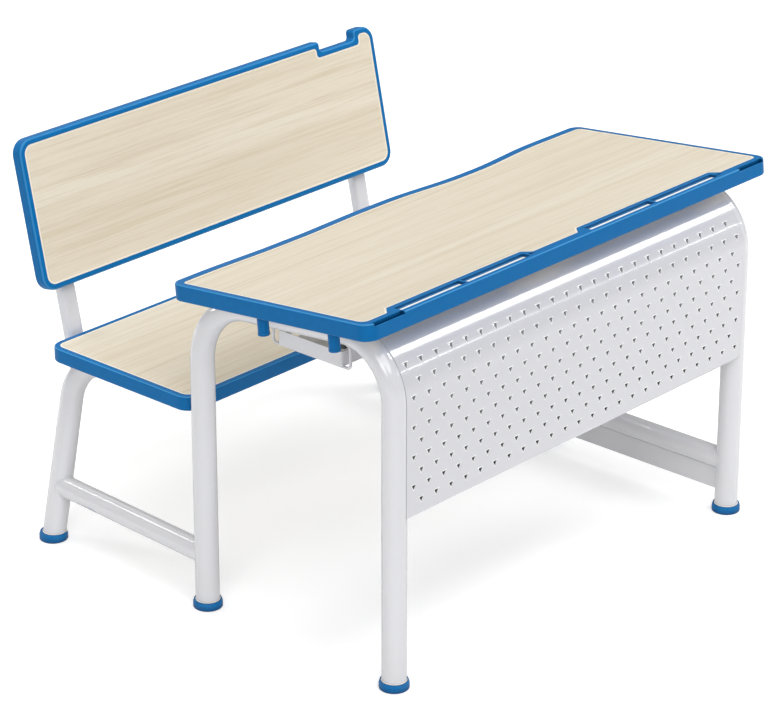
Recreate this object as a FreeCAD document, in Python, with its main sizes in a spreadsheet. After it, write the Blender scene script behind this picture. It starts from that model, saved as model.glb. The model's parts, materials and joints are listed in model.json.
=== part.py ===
import FreeCAD, Part
import math
import os
import Sketcher

# A classroom desk for two pupils with a bench on the same frame.
# X is the width, -Y the side of the modesty panel, +Y the pupils' side, +Z up, in millimetres.
# The origin lies on the floor, in the middle of the whole desk and bench.

LENGTHS = {
    # Round tube of the frame
    "tube_diameter": 48.0,
    "tube_wall": 1.5,
    # Desk side frames
    "leg_inset": 82.0,
    "rear_leg_setback": 3.24,
    "front_bend_radius": 112.0,
    "rear_bend_radius": 140.0,
    # Desk top
    "top_width": 1200.0,
    "top_depth": 508.0,
    "top_thickness": 34.0,
    "front_height": 764.84,
    "front_overhang": 13.46,
    "top_front_corner_radius": 28.0,
    "top_rear_corner_radius": 24.0,
    "top_side_rim": 12.0,
    "top_rear_rim": 21.0,
    "top_front_rim": 21.0,
    "rim_rise": 1.0,
    "edge_round": 4.0,
    # Hollows in the pupils' edge, one for each pupil
    "left_scoop_depth": 6.0,
    "right_scoop_depth": 17.0,
    # Pen grooves along the front edge
    "groove_zone_rim": 41.5,
    "groove_step_radius": 5.0,
    "groove_wall": 8.8,
    "groove_width": 21.0,
    "groove_depth": 10.0,
    "groove_end_radius": 3.0,
    "groove_rib": 5.0,
    "groove_lead": 26.0,
    "groove_tail": 7.0,
    "groove_lead_slant": 20.0,
    "groove_slant": 13.0,
    "left_zone_inset": 74.0,
    "left_zone_end": 118.0,
    "right_zone_start": 16.0,
    "right_zone_inset": 136.0,
    "liner_thickness": 4.0,
    "dimple_length": 14.0,
    "dimple_width": 9.0,
    "dimple_depth": 5.0,
    "dimple_inset": 4.0,
    "corner_slot_length": 80.0,
    "corner_slot_width": 6.5,
    "corner_slot_wall": 2.5,
    "corner_slot_depth": 12.0,
    "corner_slot_inset": 19.0,
    "corner_slot_drop": 6.0,
    # Bag pegs
    "peg_diameter": 22.0,
    "peg_length": 40.0,
    "peg_lip_diameter": 23.0,
    "peg_lip_height": 5.0,
    "peg_lip_round": 1.5,
    "peg_spigot_diameter": 10.0,
    "peg_spigot_length": 12.0,
    "peg_inset": 25.0,
    "front_peg_setback": 112.0,
    "peg_pitch": 180.0,
    # Modesty panel
    "panel_thickness": 1.2,
    "panel_bottom": 357.0,
    "panel_reach": 148.0,
    "hole_width": 11.5,
    "hole_height": 10.0,
    "hole_pitch": 41.8,
    "hole_row_pitch": 29.8,
    "hole_bottom_margin": 22.0,
    "hole_side_margin": 12.0,
    "hole_top_margin": 80.0,
    "panel_screw_setback": 18.0,
    "panel_screw_inset": 70.5,
    # Lugs and screws under the boards
    "lug_thickness": 3.0,
    "lug_length": 34.0,
    "lug_width": 30.0,
    "top_lug_setback": 223.0,
    "top_lug_pitch": 85.0,
    "seat_lug_setback": 140.0,
    "seat_lug_pitch": 140.0,
    "screw_diameter": 4.5,
    "screw_head_diameter": 9.5,
    "screw_head_height": 2.6,
    "screw_head_round": 1.0,
    "screw_bite": 18.0,
    "screw_clearance": 0.15,
    # Book tray, its wire cradles and clips
    "tray_side_gap": 14.0,
    "tray_depth": 160.0,
    "tray_front": 167.0,
    "tray_drop": 116.0,
    "tray_wall_height": 30.0,
    "tray_sheet": 1.2,
    "tray_corner_radius": 7.0,
    "wire_diameter": 6.0,
    "wire_bend_radius": 9.0,
    "cradle_inset": 9.0,
    "cradle_rear_gap": 23.0,
    "cradle_front_gap": 15.0,
    "cradle_inner_gap": 14.0,
    "cradle_height": 46.0,
    "rail_rise": 24.0,
    "clip_width": 16.0,
    "clip_depth": 12.0,
    "clip_wrap": 3.0,
    "clip_flange_width": 46.0,
    "clip_flange_thickness": 3.0,
    "clip_hole_pitch": 32.0,
    # Bench side frames
    "bench_foot_setback": 16.0,
    "bench_bend_radius": 90.0,
    "seat_rail_setback": 88.0,
    "rail_plug_rim": 3.0,
    "rail_plug_length": 14.0,
    "plug_clearance": 0.15,
    # Seat
    "seat_overhang": 9.0,
    "seat_depth": 400.0,
    "seat_height": 438.0,
    "seat_thickness": 31.0,
    "seat_gap": 32.0,
    "seat_corner_radius": 32.0,
    "seat_rim": 12.0,
    # Backrest and its posts
    "backrest_end_inset": 10.0,
    "backrest_height": 312.0,
    "backrest_thickness": 27.0,
    "backrest_gap": 105.0,
    "backrest_setback": 9.0,
    "backrest_corner_radius": 32.0,
    "backrest_rim": 12.0,
    "backrest_round": 6.0,
    "notch_width": 107.0,
    "notch_depth": 22.0,
    "notch_end": 60.0,
    "notch_radius": 8.0,
    "post_width": 42.0,
    "post_depth": 24.0,
    "post_corner_radius": 10.0,
    "post_wall": 1.5,
    "post_top_margin": 45.0,
    "post_cap_rim": 3.0,
    "post_cap_length": 14.0,
    "post_cap_round": 1.0,
    "bolt_diameter": 6.0,
    "bolt_head_diameter": 13.0,
    "bolt_head_height": 4.0,
    "bolt_bite": 15.0,
    "bolt_lower_rise": 60.0,
    "bolt_pitch": 150.0,
    # Low bars
    "stretcher_diameter": 45.0,
    "stretcher_height": 114.0,
    "strip_height": 47.0,
    "strip_thickness": 14.0,
    # Foot caps
    "foot_diameter": 59.0,
    "foot_top_diameter": 55.0,
    "foot_height": 17.0,
    "foot_shoulder": 11.0,
    "foot_base": 5.0,
    "foot_round": 2.0,
    "foot_clearance": 0.2,
    # How far every cut runs past the solid that it cuts
    "overrun": 5.0,
}

# Places and sizes of the hollows in the pupils' edge, as shares of the top's width
SHARES = {
    "left_scoop_centre_share": -0.25,
    "right_scoop_centre_share": 0.185,
    "scoop_floor_share": 0.0917,
    "scoop_flank_share": 0.1167,
    "scoop_radius_share": 0.5833,
}

ANGLES = {
    "top_tilt_angle": 6.0,
    "backrest_recline_angle": 12.0,
    "bench_splay_angle": 12.4,
}

PANEL_SCREWS = 5
LEFT = -1
RIGHT = 1
SIDE_NAMES = {LEFT: "left", RIGHT: "right"}
ACROSS = FreeCAD.Vector(1, 0, 0)
ALONG = FreeCAD.Vector(0, 1, 0)
UPRIGHT = FreeCAD.Vector(0, 0, 1)
TOUCH = 1e-4


class Size:
    """A number that also knows its formula over the cells of the sheet."""

    def __init__(self, value, formula):
        self.value = value
        self.formula = formula

    def joined(self, sign, other, value):
        return Size(value, "(%s %s %s)" % (self.formula, sign, sized(other).formula))

    def __add__(self, other):
        return self.joined("+", other, self.value + sized(other).value)

    def __sub__(self, other):
        return self.joined("-", other, self.value - sized(other).value)

    def __mul__(self, other):
        return self.joined("*", other, self.value * sized(other).value)

    def __truediv__(self, other):
        return self.joined("/", other, self.value / sized(other).value)

    def __neg__(self):
        return Size(-self.value, "(-1 * %s)" % self.formula)


class Dimensions:
    """Holds every size of the sheet under its own name."""


def sized(number):
    """Give a plain count or zero the form of a size."""
    return number if isinstance(number, Size) else Size(number, str(number))


def sine(angle):
    return Size(math.sin(math.radians(angle.value)), "sin(%s)" % angle.formula)


def cosine(angle):
    return Size(math.cos(math.radians(angle.value)), "cos(%s)" % angle.formula)


def tangent(angle):
    return Size(math.tan(math.radians(angle.value)), "tan(%s)" % angle.formula)


def root(number):
    return Size(math.sqrt(number.value), "sqrt(%s)" % number.formula)


def slope_angle(rise, run):
    value = math.degrees(math.atan(rise.value / run.value))
    return Size(value, "atan(%s / %s)" % (rise.formula, run.formula))


def copies(room, pitch):
    """Count what stands at a steady pitch, from one end of a room to the other."""
    return int(room.value / pitch.value) + 1


def chord_half(radius, depth):
    """Half the width of a circle at the given depth below its edge."""
    return root(radius * depth * 2 - depth * depth)


doc = FreeCAD.newDocument("classroom_desk")
sheet = doc.addObject("Spreadsheet::Sheet", "size")
dim = Dimensions()
for row, (name, number) in enumerate({**LENGTHS, **SHARES, **ANGLES}.items(), start=1):
    cell = "A%d" % row
    sheet.set(cell, str(number))
    sheet.setAlias(cell, name)
    unit = " * 1 deg" if name in ANGLES else ""
    setattr(dim, name, Size(number, "(size.%s%s)" % (name, unit)))
doc.recompute()

ZERO = Size(0, "0")
QUARTER_TURN = Size(90, "90 deg")
nodes = []


# Helpers that draw and bind

def bind(thing, prop, length):
    thing.setExpression(prop, length.formula)


def place(thing, x=ZERO, y=ZERO, z=ZERO, axis=UPRIGHT, turn=ZERO):
    """Put a thing at a point, turned about one axis, with every number bound to the sheet."""
    base = FreeCAD.Vector(x.value, y.value, z.value)
    thing.Placement = FreeCAD.Placement(base, FreeCAD.Rotation(axis, turn.value))
    for letter, length in zip("xyz", (x, y, z)):
        if length is not ZERO:
            bind(thing, "Placement.Base." + letter, length)
    if turn is not ZERO:
        bind(thing, "Placement.Rotation.Angle", turn)


def new_body(label, several=False):
    body = doc.addObject("PartDesign::Body", label)
    body.AllowCompound = several
    return body


def new_sketch(body, plane, offset=ZERO):
    """Start a sketch on one of the body's own origin planes, or at a distance along its normal."""
    sketch = body.newObject("Sketcher::SketchObject", body.Name + "_sketch")
    support = [feature for feature in body.Origin.OriginFeatures if feature.Role == plane]
    sketch.AttachmentSupport = [(support[0], "")]
    sketch.MapMode = "FlatFace"
    if offset is not ZERO:
        bind(sketch, "AttachmentOffset.Base.z", offset)
    return sketch


def constrain(sketch, kind, *parts, length=None):
    values = parts if length is None else parts + (length.value,)
    index = sketch.addConstraint(Sketcher.Constraint(kind, *values))
    if length is not None:
        bind(sketch, "Constraints[%d]" % index, length)


def pin(sketch, item, end, x, y):
    """Hold one point of the sketch at its coordinates."""
    for kind, length, axis_line in (("DistanceX", x, -2), ("DistanceY", y, -1)):
        if length is ZERO:
            constrain(sketch, "PointOnObject", item, end, axis_line)
        else:
            constrain(sketch, kind, -1, 1, item, end, length=length)


def flat(point):
    return FreeCAD.Vector(point[0].value, point[1].value, 0)


def corner_arc(before, corner, after, radius):
    """Give the arc that rounds a corner, as its first, middle and last point."""
    back = (before - corner).normalize()
    ahead = (after - corner).normalize()
    half = back.getAngle(ahead) / 2
    reach = radius / math.tan(half)
    inward = (back + ahead).normalize()
    middle = corner + inward * (radius / math.sin(half) - radius)
    return corner + back * reach, middle, corner + ahead * reach


def draw(sketch, corners, radii, closed=True):
    """Draw straight runs through the corners, rounded where a corner has a radius."""
    count = len(corners)
    spots = [flat(corner) for corner in corners]
    arcs = {}
    for n in range(count):
        if radii[n] is not None:
            arcs[n] = corner_arc(spots[n - 1], spots[n], spots[(n + 1) % count], radii[n].value)
    lines = {}
    arc_items = {}
    runs = count if closed else count - 1
    for n in range(runs):
        after = (n + 1) % count
        start = arcs[n][2] if n in arcs else spots[n]
        end = arcs[after][0] if after in arcs else spots[after]
        lines[n] = sketch.addGeometry(Part.LineSegment(start, end))
        if after in arcs:
            arc_items[after] = sketch.addGeometry(Part.Arc(*arcs[after]))
    for n in range(count):
        before = lines.get((n - 1) % count if closed else n - 1)
        after = lines.get(n)
        if n in arcs:
            round_corner(sketch, before, arc_items[n], after, arcs[n], radii[n], corners[n])
            continue
        if before is not None and after is not None:
            constrain(sketch, "Coincident", before, 2, after, 1)
        if after is not None:
            pin(sketch, after, 1, *corners[n])
        else:
            pin(sketch, before, 2, *corners[n])


def round_corner(sketch, before, arc, after, points, radius, corner):
    """Tie one arc to the two runs beside it and hold the corner where they would meet."""
    away = [(sketch.getPoint(arc, end) - points[0]).Length for end in (1, 2)]
    first_end = 1 if away[0] < away[1] else 2
    constrain(sketch, "Tangent", before, 2, arc, first_end)
    constrain(sketch, "Tangent", arc, 3 - first_end, after, 1)
    constrain(sketch, "Radius", arc, length=radius)
    mark = sketch.addGeometry(Part.Point(flat(corner)), True)
    constrain(sketch, "PointOnObject", mark, 1, before)
    constrain(sketch, "PointOnObject", mark, 1, after)
    pin(sketch, mark, 1, *corner)


def draw_box(sketch, low, high, radius=None):
    """Draw a rectangle between two corners, with all its corners rounded alike or none."""
    corners = [(low[0], low[1]), (high[0], low[1]), (high[0], high[1]), (low[0], high[1])]
    draw(sketch, corners, [radius] * len(corners))


def draw_circle(sketch, x, y, radius):
    circle = sketch.addGeometry(Part.Circle(flat((x, y)), UPRIGHT, radius.value))
    constrain(sketch, "Radius", circle, length=radius)
    pin(sketch, circle, 3, x, y)


def pad(body, sketch, length, backwards=False):
    feature = body.newObject("PartDesign::Pad", body.Name + "_pad")
    feature.Profile = sketch
    feature.Reversed = backwards
    bind(feature, "Length", length)
    doc.recompute()
    return feature


def pocket(body, sketch, length, backwards=False):
    """Cut a sketch into the body, and see that it took material away."""
    volume = body.Shape.Volume
    feature = body.newObject("PartDesign::Pocket", body.Name + "_pocket")
    feature.Profile = sketch
    feature.Reversed = backwards
    bind(feature, "Length", length)
    doc.recompute()
    if not body.Shape.Volume < volume:
        raise ValueError("a pocket of %s cuts nothing" % body.Label)
    return feature


def soften(body, radius, wanted):
    """Round the edges of the body that pass the test."""
    base = body.Tip
    names = ["Edge%d" % n for n, edge in enumerate(base.Shape.Edges, start=1) if wanted(edge)]
    fillet = body.newObject("PartDesign::Fillet", body.Name + "_fillet")
    fillet.Base = (base, names)
    bind(fillet, "Radius", radius)
    doc.recompute()


def sweep(body, profile, path):
    pipe = body.newObject("PartDesign::AdditivePipe", body.Name + "_pipe")
    pipe.Profile = profile
    pipe.Spine = (path, ["Edge%d" % n for n in range(1, len(path.Shape.Edges) + 1)])
    doc.recompute()


def bent_tube(label, corners, radii, radius, wall=None):
    """Sweep a ring, or a disc where there is no wall, along a bent path in the YZ plane."""
    body = new_body(label)
    path = new_sketch(body, "YZ_Plane")
    draw(path, corners, [None] + radii + [None], closed=False)
    section = new_sketch(body, "XY_Plane", corners[0][1])
    draw_circle(section, ZERO, corners[0][0], radius)
    if wall is not None:
        draw_circle(section, ZERO, corners[0][0], radius - wall)
    doc.recompute()
    sweep(body, section, path)
    return body


def straight_tube(label, radius, wall, length):
    """Make a tube that runs along +Y from the body's origin."""
    body = new_body(label)
    section = new_sketch(body, "XZ_Plane")
    draw_circle(section, ZERO, ZERO, radius)
    draw_circle(section, ZERO, ZERO, radius - wall)
    pad(body, section, length, backwards=True)
    return body


def cylinder(label, radius, height):
    rod = doc.addObject("Part::Cylinder", label)
    bind(rod, "Radius", radius)
    bind(rod, "Height", height)
    return rod


def block(label, length, width, height):
    box = doc.addObject("Part::Box", label)
    bind(box, "Length", length)
    bind(box, "Width", width)
    bind(box, "Height", height)
    return box


def combine(kind, label, base, tool):
    result = doc.addObject("Part::" + kind, label)
    result.Base = base
    result.Tool = tool
    doc.recompute()
    return result


def keep(thing, label):
    """Count a finished object as a piece of the desk, under its own name."""
    thing.Label = label
    nodes.append(thing)


def rim_test(body, axis, spot):
    """Give a test for the outer edges of the body's flat faces at a spot along one axis."""
    rims = []
    for face in body.Tip.Shape.Faces:
        box = face.BoundBox
        ends = (getattr(box, axis + "Min"), getattr(box, axis + "Max"))
        if all(abs(end - spot.value) < TOUCH for end in ends):
            rims += face.OuterWire.Edges
    return lambda edge: any(edge.isSame(rim) for rim in rims)


# Places worked out from the sizes, measured from the axis of the front legs on the floor

tube_radius = dim.tube_diameter / 2
wire_radius = dim.wire_diameter / 2
half_spacing = dim.top_width / 2 - dim.leg_inset
tilt = dim.top_tilt_angle
recline = dim.backrest_recline_angle
splay = dim.bench_splay_angle
leg_depth = dim.top_depth * cosine(tilt) - dim.front_overhang + dim.rear_leg_setback
underside_front = dim.front_height - dim.top_thickness * cosine(tilt)
board_thickness = dim.top_thickness - dim.rim_rise
scoop_radius = dim.top_width * dim.scoop_radius_share
seat_underside = dim.seat_height - dim.seat_thickness
seat_front = leg_depth + dim.seat_gap
seat_width = (half_spacing + dim.seat_overhang) * 2
bench_foot_depth = seat_front + dim.seat_depth + dim.bench_foot_setback
rail_height = seat_underside - tube_radius
rail_offset = half_spacing - rail_height * tangent(splay)
rail_end = seat_front + dim.seat_rail_setback
backrest_front = seat_front + dim.seat_depth + dim.backrest_setback
backrest_width = seat_width - dim.backrest_end_inset * 2
backrest_bottom = dim.seat_height + dim.backrest_gap
post_top = dim.backrest_height - dim.post_top_margin
post_back = dim.backrest_thickness + dim.post_depth
post_drop = (backrest_bottom - rail_height + dim.bench_bend_radius / 2) / cosine(recline)
rear_reach = backrest_front + (post_top + dim.post_cap_rim) * sine(recline) + post_back * cosine(recline)
middle = (rear_reach - dim.foot_diameter / 2) / 2
tray_rear = dim.tray_front + dim.tray_depth
tray_width = (half_spacing - tube_radius - dim.tray_side_gap) * 2
tray_floor = underside_front - (dim.tray_front + dim.front_overhang) * tangent(tilt) - dim.tray_drop
wire_low = tray_floor - wire_radius
wire_high = wire_low + dim.cradle_height
cradle_offset = tray_width / 2 - dim.cradle_inset
panel_half_width = half_spacing - chord_half(tube_radius, dim.panel_thickness)
screw_hole_radius = dim.screw_diameter / 2 + dim.screw_clearance


def station(y):
    """Give the place along Y of a point measured from the front legs' axis."""
    return y - middle


class Slant:
    """A frame tilted about X: y runs down the slope of a board, z stands square on it."""

    def __init__(self, y, z, angle):
        self.y = y
        self.z = z
        self.angle = angle

    def seat(self, thing, x=ZERO):
        place(thing, x, station(self.y), self.z, ACROSS, -self.angle)

    def inside(self, y, z):
        """Give a point, measured from the front legs' axis, in the tilted frame."""
        dy = y - self.y
        dz = z - self.z
        along = dy * cosine(self.angle) - dz * sine(self.angle)
        return along, dy * sine(self.angle) + dz * cosine(self.angle)


top_frame = Slant(-dim.front_overhang, underside_front, tilt)
back_frame = Slant(backrest_front, backrest_bottom, recline)


def axis_height(y, drop):
    """Give the height, over a point, of a line that runs a drop below the underside of the top."""
    return underside_front - (y + dim.front_overhang) * tangent(tilt) - drop / cosine(tilt)


# Desk top

def pupils_edge(rear):
    """Corners of the wavy edge, from the right end to the left."""
    corners = []
    near = dim.top_width * dim.scoop_floor_share / 2
    far = near + dim.top_width * dim.scoop_flank_share
    right = (dim.top_width * dim.right_scoop_centre_share, dim.right_scoop_depth)
    left = (dim.top_width * dim.left_scoop_centre_share, dim.left_scoop_depth)
    for centre, depth in (right, left):
        corners += [(centre + far, rear), (centre + near, rear - depth)]
        corners += [(centre - near, rear - depth), (centre - far, rear)]
    return corners


def groove_zones():
    """Start and length of each pen groove, from left to right."""
    half = dim.top_width / 2
    ends = dim.groove_lead + dim.groove_tail + dim.groove_slant
    left_start = dim.left_zone_inset - half
    left_length = -left_start - dim.left_zone_end - ends
    right_length = half - dim.right_zone_inset - dim.right_zone_start - ends
    return ((left_start, left_length), (dim.right_zone_start, right_length))


def draw_top_outline(sketch):
    half = dim.top_width / 2
    wave = pupils_edge(dim.top_depth)
    corners = [(-half, ZERO), (half, ZERO), (half, dim.top_depth)] + wave + [(-half, dim.top_depth)]
    front = dim.top_front_corner_radius
    rear = dim.top_rear_corner_radius
    draw(sketch, corners, [front, front, rear] + [scoop_radius] * len(wave) + [rear])


def draw_board_outline(sketch):
    """Draw the line where the board meets the edging, with a step round each pen groove."""
    half = dim.top_width / 2 - dim.top_side_rim
    front = dim.top_front_rim
    rear = dim.top_depth - dim.top_rear_rim
    steps = []
    for start, length in groove_zones():
        tail = start + dim.groove_lead + length + dim.groove_tail
        steps += [(start, front), (start + dim.groove_lead_slant, dim.groove_zone_rim)]
        steps += [(tail, dim.groove_zone_rim), (tail + dim.groove_slant, front)]
    wave = pupils_edge(rear)
    corners = [(-half, front)] + steps + [(half, front), (half, rear)] + wave + [(-half, rear)]
    front_radius = dim.top_front_corner_radius - dim.top_side_rim
    rear_radius = dim.top_rear_corner_radius - dim.top_side_rim
    radii = [front_radius] + [dim.groove_step_radius] * len(steps) + [front_radius, rear_radius]
    draw(sketch, corners, radii + [scoop_radius] * len(wave) + [rear_radius])


def groove_boxes():
    """Low and high corner of each half of the pen grooves."""
    boxes = []
    low = dim.groove_wall
    high = low + dim.groove_width
    for start, length in groove_zones():
        first = start + dim.groove_lead
        rib = first + length / 2 - dim.groove_rib / 2
        boxes.append(((first, low), (rib, high)))
        boxes.append(((rib + dim.groove_rib, low), (first + length, high)))
    return boxes


def corner_slots():
    """Left and right end of the short slot at each front corner."""
    outer = dim.top_width / 2 - dim.corner_slot_inset
    inner = outer - dim.corner_slot_length
    return ((-outer, -inner), (inner, outer))


def make_top_edge():
    body = new_body("desk_top_edge")
    outline = new_sketch(body, "XY_Plane")
    draw_top_outline(outline)
    draw_board_outline(outline)
    pad(body, outline, dim.top_thickness)
    soften(body, dim.edge_round, rim_test(body, "Z", dim.top_thickness))
    soften(body, dim.edge_round, rim_test(body, "Z", ZERO))
    grooves = new_sketch(body, "XY_Plane", dim.top_thickness)
    for low, high in groove_boxes():
        draw_box(grooves, low, high, dim.groove_end_radius)
    pocket(body, grooves, dim.groove_depth)
    slots = new_sketch(body, "XY_Plane", dim.top_thickness)
    drops = new_sketch(body, "XY_Plane", dim.top_thickness)
    for left, right in corner_slots():
        slot_rear = dim.corner_slot_wall + dim.corner_slot_width
        draw_box(slots, (left, dim.corner_slot_wall), (right, slot_rear))
        draw_box(drops, (left, -dim.overrun), (right, dim.corner_slot_wall))
    pocket(body, slots, dim.corner_slot_depth)
    pocket(body, drops, dim.corner_slot_drop)
    dimples = new_sketch(body, "XY_Plane", dim.top_thickness)
    for start, length in groove_zones():
        near = start + dim.groove_lead + length + dim.groove_rib
        front = dim.groove_wall + dim.dimple_inset
        corners = [(near, front), (near + dim.dimple_length, front), (near, front + dim.dimple_width)]
        draw(dimples, corners, [None] * len(corners))
    pocket(body, dimples, dim.dimple_depth)
    top_frame.seat(body)
    keep(body, "desk_top_edge")


def make_groove_liners():
    floor = dim.top_thickness - dim.groove_depth
    body = new_body("pen_groove_liners", several=True)
    strips = new_sketch(body, "XY_Plane", floor)
    for low, high in groove_boxes():
        draw_box(strips, low, high, dim.groove_end_radius)
    pad(body, strips, dim.liner_thickness)
    top_frame.seat(body)
    keep(body, "pen_groove_liners")


def peg_spots(side):
    reach = (dim.top_width / 2 - dim.peg_inset) * side
    return [(reach, dim.front_peg_setback), (reach, dim.front_peg_setback + dim.peg_pitch)]


def lug_spots(side, tube_offset, setback, pitch):
    """Centre of each lug on the inner side of a tube that runs below a board."""
    reach = (tube_offset - chord_half(tube_radius, dim.lug_thickness) - dim.lug_length / 2) * side
    return [(reach, setback), (reach, setback + pitch)]


def top_lug_spots(side):
    return lug_spots(side, half_spacing, dim.top_lug_setback, dim.top_lug_pitch)


def seat_lug_spots(side):
    return lug_spots(side, rail_offset, dim.seat_lug_setback, dim.seat_lug_pitch)


def panel_screw_spots():
    along = (dim.panel_reach + dim.front_overhang) / cosine(tilt) - dim.panel_screw_setback
    first = dim.panel_screw_inset - panel_half_width
    pitch = -first * 2 / (PANEL_SCREWS - 1)
    return [(first + pitch * n, along) for n in range(PANEL_SCREWS)]


def clip_places():
    """Place of the two clips of a cradle, in the frame of the top: along the slope and below it."""
    rear = tray_rear + (dim.cradle_rear_gap - dim.cradle_inner_gap) / 2
    front = dim.tray_front + (dim.cradle_inner_gap - dim.cradle_front_gap) / 2
    return [top_frame.inside(y, wire_high) for y in (front, rear)]


def clip_screw_spots(side):
    half = dim.clip_hole_pitch / 2
    reach = cradle_offset * side
    return [(reach + half * end, along) for along, below in clip_places() for end in (-1, 1)]


def make_top_board():
    body = new_body("desk_top_board")
    outline = new_sketch(body, "XY_Plane")
    draw_board_outline(outline)
    pad(body, outline, board_thickness)
    sockets = new_sketch(body, "XY_Plane")
    pilots = new_sketch(body, "XY_Plane")
    for x, y in panel_screw_spots():
        draw_circle(pilots, x, y, screw_hole_radius)
    for side in (LEFT, RIGHT):
        for x, y in peg_spots(side):
            draw_circle(sockets, x, y, dim.peg_spigot_diameter / 2 + dim.screw_clearance)
        for x, y in top_lug_spots(side) + clip_screw_spots(side):
            draw_circle(pilots, x, y, screw_hole_radius)
    pocket(body, sockets, dim.peg_spigot_length, backwards=True)
    pocket(body, pilots, dim.screw_bite, backwards=True)
    top_frame.seat(body)
    keep(body, "desk_top_board")


def make_bag_pegs(side):
    label = SIDE_NAMES[side] + "_bag_pegs"
    body = new_body(label, several=True)
    stems = new_sketch(body, "XY_Plane")
    lips = new_sketch(body, "XY_Plane", -dim.peg_length)
    spigots = new_sketch(body, "XY_Plane")
    for x, y in peg_spots(side):
        draw_circle(stems, x, y, dim.peg_diameter / 2)
        draw_circle(lips, x, y, dim.peg_lip_diameter / 2)
        draw_circle(spigots, x, y, dim.peg_spigot_diameter / 2)
    pad(body, stems, dim.peg_length, backwards=True)
    pad(body, lips, dim.peg_lip_height)
    pad(body, spigots, dim.peg_spigot_length)
    soften(body, dim.peg_lip_round, rim_test(body, "Z", -dim.peg_length))
    top_frame.seat(body)
    keep(body, label)


# Lugs and screws

def make_lugs(label, spots, settle):
    """Make flat lugs that lie against the underside of a board, each with a screw hole."""
    body = new_body(label, several=True)
    plates = new_sketch(body, "XY_Plane")
    half_length = dim.lug_length / 2
    half_width = dim.lug_width / 2
    for x, y in spots:
        low = (x - half_length, y - half_width)
        draw_box(plates, low, (x + half_length, y + half_width))
        draw_circle(plates, x, y, screw_hole_radius)
    pad(body, plates, dim.lug_thickness, backwards=True)
    settle(body)
    keep(body, label)


def make_screws(label, spots, seat_thickness, settle):
    """Make screws that hold a plate of the given thickness against the underside of a board."""
    body = new_body(label, several=True)
    heads = new_sketch(body, "XY_Plane", -seat_thickness)
    shanks = new_sketch(body, "XY_Plane", -seat_thickness)
    for x, y in spots:
        draw_circle(heads, x, y, dim.screw_head_diameter / 2)
        draw_circle(shanks, x, y, dim.screw_diameter / 2)
    pad(body, heads, dim.screw_head_height, backwards=True)
    pad(body, shanks, seat_thickness + dim.screw_bite)
    soften(body, dim.screw_head_round, rim_test(body, "Z", -(seat_thickness + dim.screw_head_height)))
    settle(body)
    keep(body, label)


def settle_on_seat(thing):
    place(thing, ZERO, station(seat_front), seat_underside)


def make_fixings():
    for side in (LEFT, RIGHT):
        name = SIDE_NAMES[side]
        make_lugs(name + "_top_lugs", top_lug_spots(side), top_frame.seat)
        make_lugs(name + "_seat_lugs", seat_lug_spots(side), settle_on_seat)
    top_spots = top_lug_spots(LEFT) + top_lug_spots(RIGHT)
    make_screws("top_screws", top_spots, dim.lug_thickness, top_frame.seat)
    seat_spots = seat_lug_spots(LEFT) + seat_lug_spots(RIGHT)
    make_screws("seat_screws", seat_spots, dim.lug_thickness, settle_on_seat)
    make_screws("panel_screws", panel_screw_spots(), dim.panel_thickness, top_frame.seat)
    clip_spots = clip_screw_spots(LEFT) + clip_screw_spots(RIGHT)
    make_screws("tray_clip_screws", clip_spots, dim.clip_flange_thickness, top_frame.seat)


# Desk side frames and the modesty panel

def make_desk_frame(side):
    label = SIDE_NAMES[side] + "_desk_frame"
    corners = [
        (ZERO, dim.foot_base),
        (ZERO, axis_height(ZERO, tube_radius)),
        (leg_depth, axis_height(leg_depth, tube_radius)),
        (leg_depth, dim.foot_base),
    ]
    radii = [dim.front_bend_radius, dim.rear_bend_radius]
    body = bent_tube(label, corners, radii, tube_radius, dim.tube_wall)
    place(body, half_spacing * side, -middle)
    keep(body, label)


def make_modesty_panel():
    """Roll one sheet along the front of the tubes, then punch the rows of triangles."""
    body = new_body("modesty_panel_sheet")
    half_sheet = dim.panel_thickness / 2
    front = half_sheet - tube_radius
    path = new_sketch(body, "YZ_Plane")
    corners = [
        (front, dim.panel_bottom),
        (front, axis_height(front, half_sheet)),
        (dim.panel_reach, axis_height(dim.panel_reach, half_sheet)),
    ]
    draw(path, corners, [None, dim.front_bend_radius - front, None], closed=False)
    section = new_sketch(body, "XY_Plane", dim.panel_bottom)
    draw_box(section, (-panel_half_width, -tube_radius), (panel_half_width, front + half_sheet))
    doc.recompute()
    sweep(body, section, path)
    room = (panel_half_width - dim.hole_side_margin) * 2 - dim.hole_width - dim.hole_pitch / 2
    columns = copies(room, dim.hole_pitch)
    first_column = -((dim.hole_pitch * (columns - 1) + dim.hole_pitch / 2) / 2)
    first_row = dim.panel_bottom + dim.hole_bottom_margin
    rows = copies(underside_front - dim.hole_top_margin - first_row, dim.hole_row_pitch)
    for parity in (0, 1):
        left = first_column + dim.hole_pitch / 2 * (1 - parity)
        punch_rows(body, left, first_row + dim.hole_row_pitch * parity, columns, (rows + 1 - parity) // 2)
    holes = new_body("panel_screw_holes", several=True)
    drill = new_sketch(holes, "XY_Plane", -dim.overrun)
    for x, y in panel_screw_spots():
        draw_circle(drill, x, y, screw_hole_radius)
    pad(holes, drill, dim.overrun)
    top_frame.seat(holes)
    place(body, y=-middle)
    keep(combine("Cut", "modesty_panel_drilled", body, holes), "modesty_panel")


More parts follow.
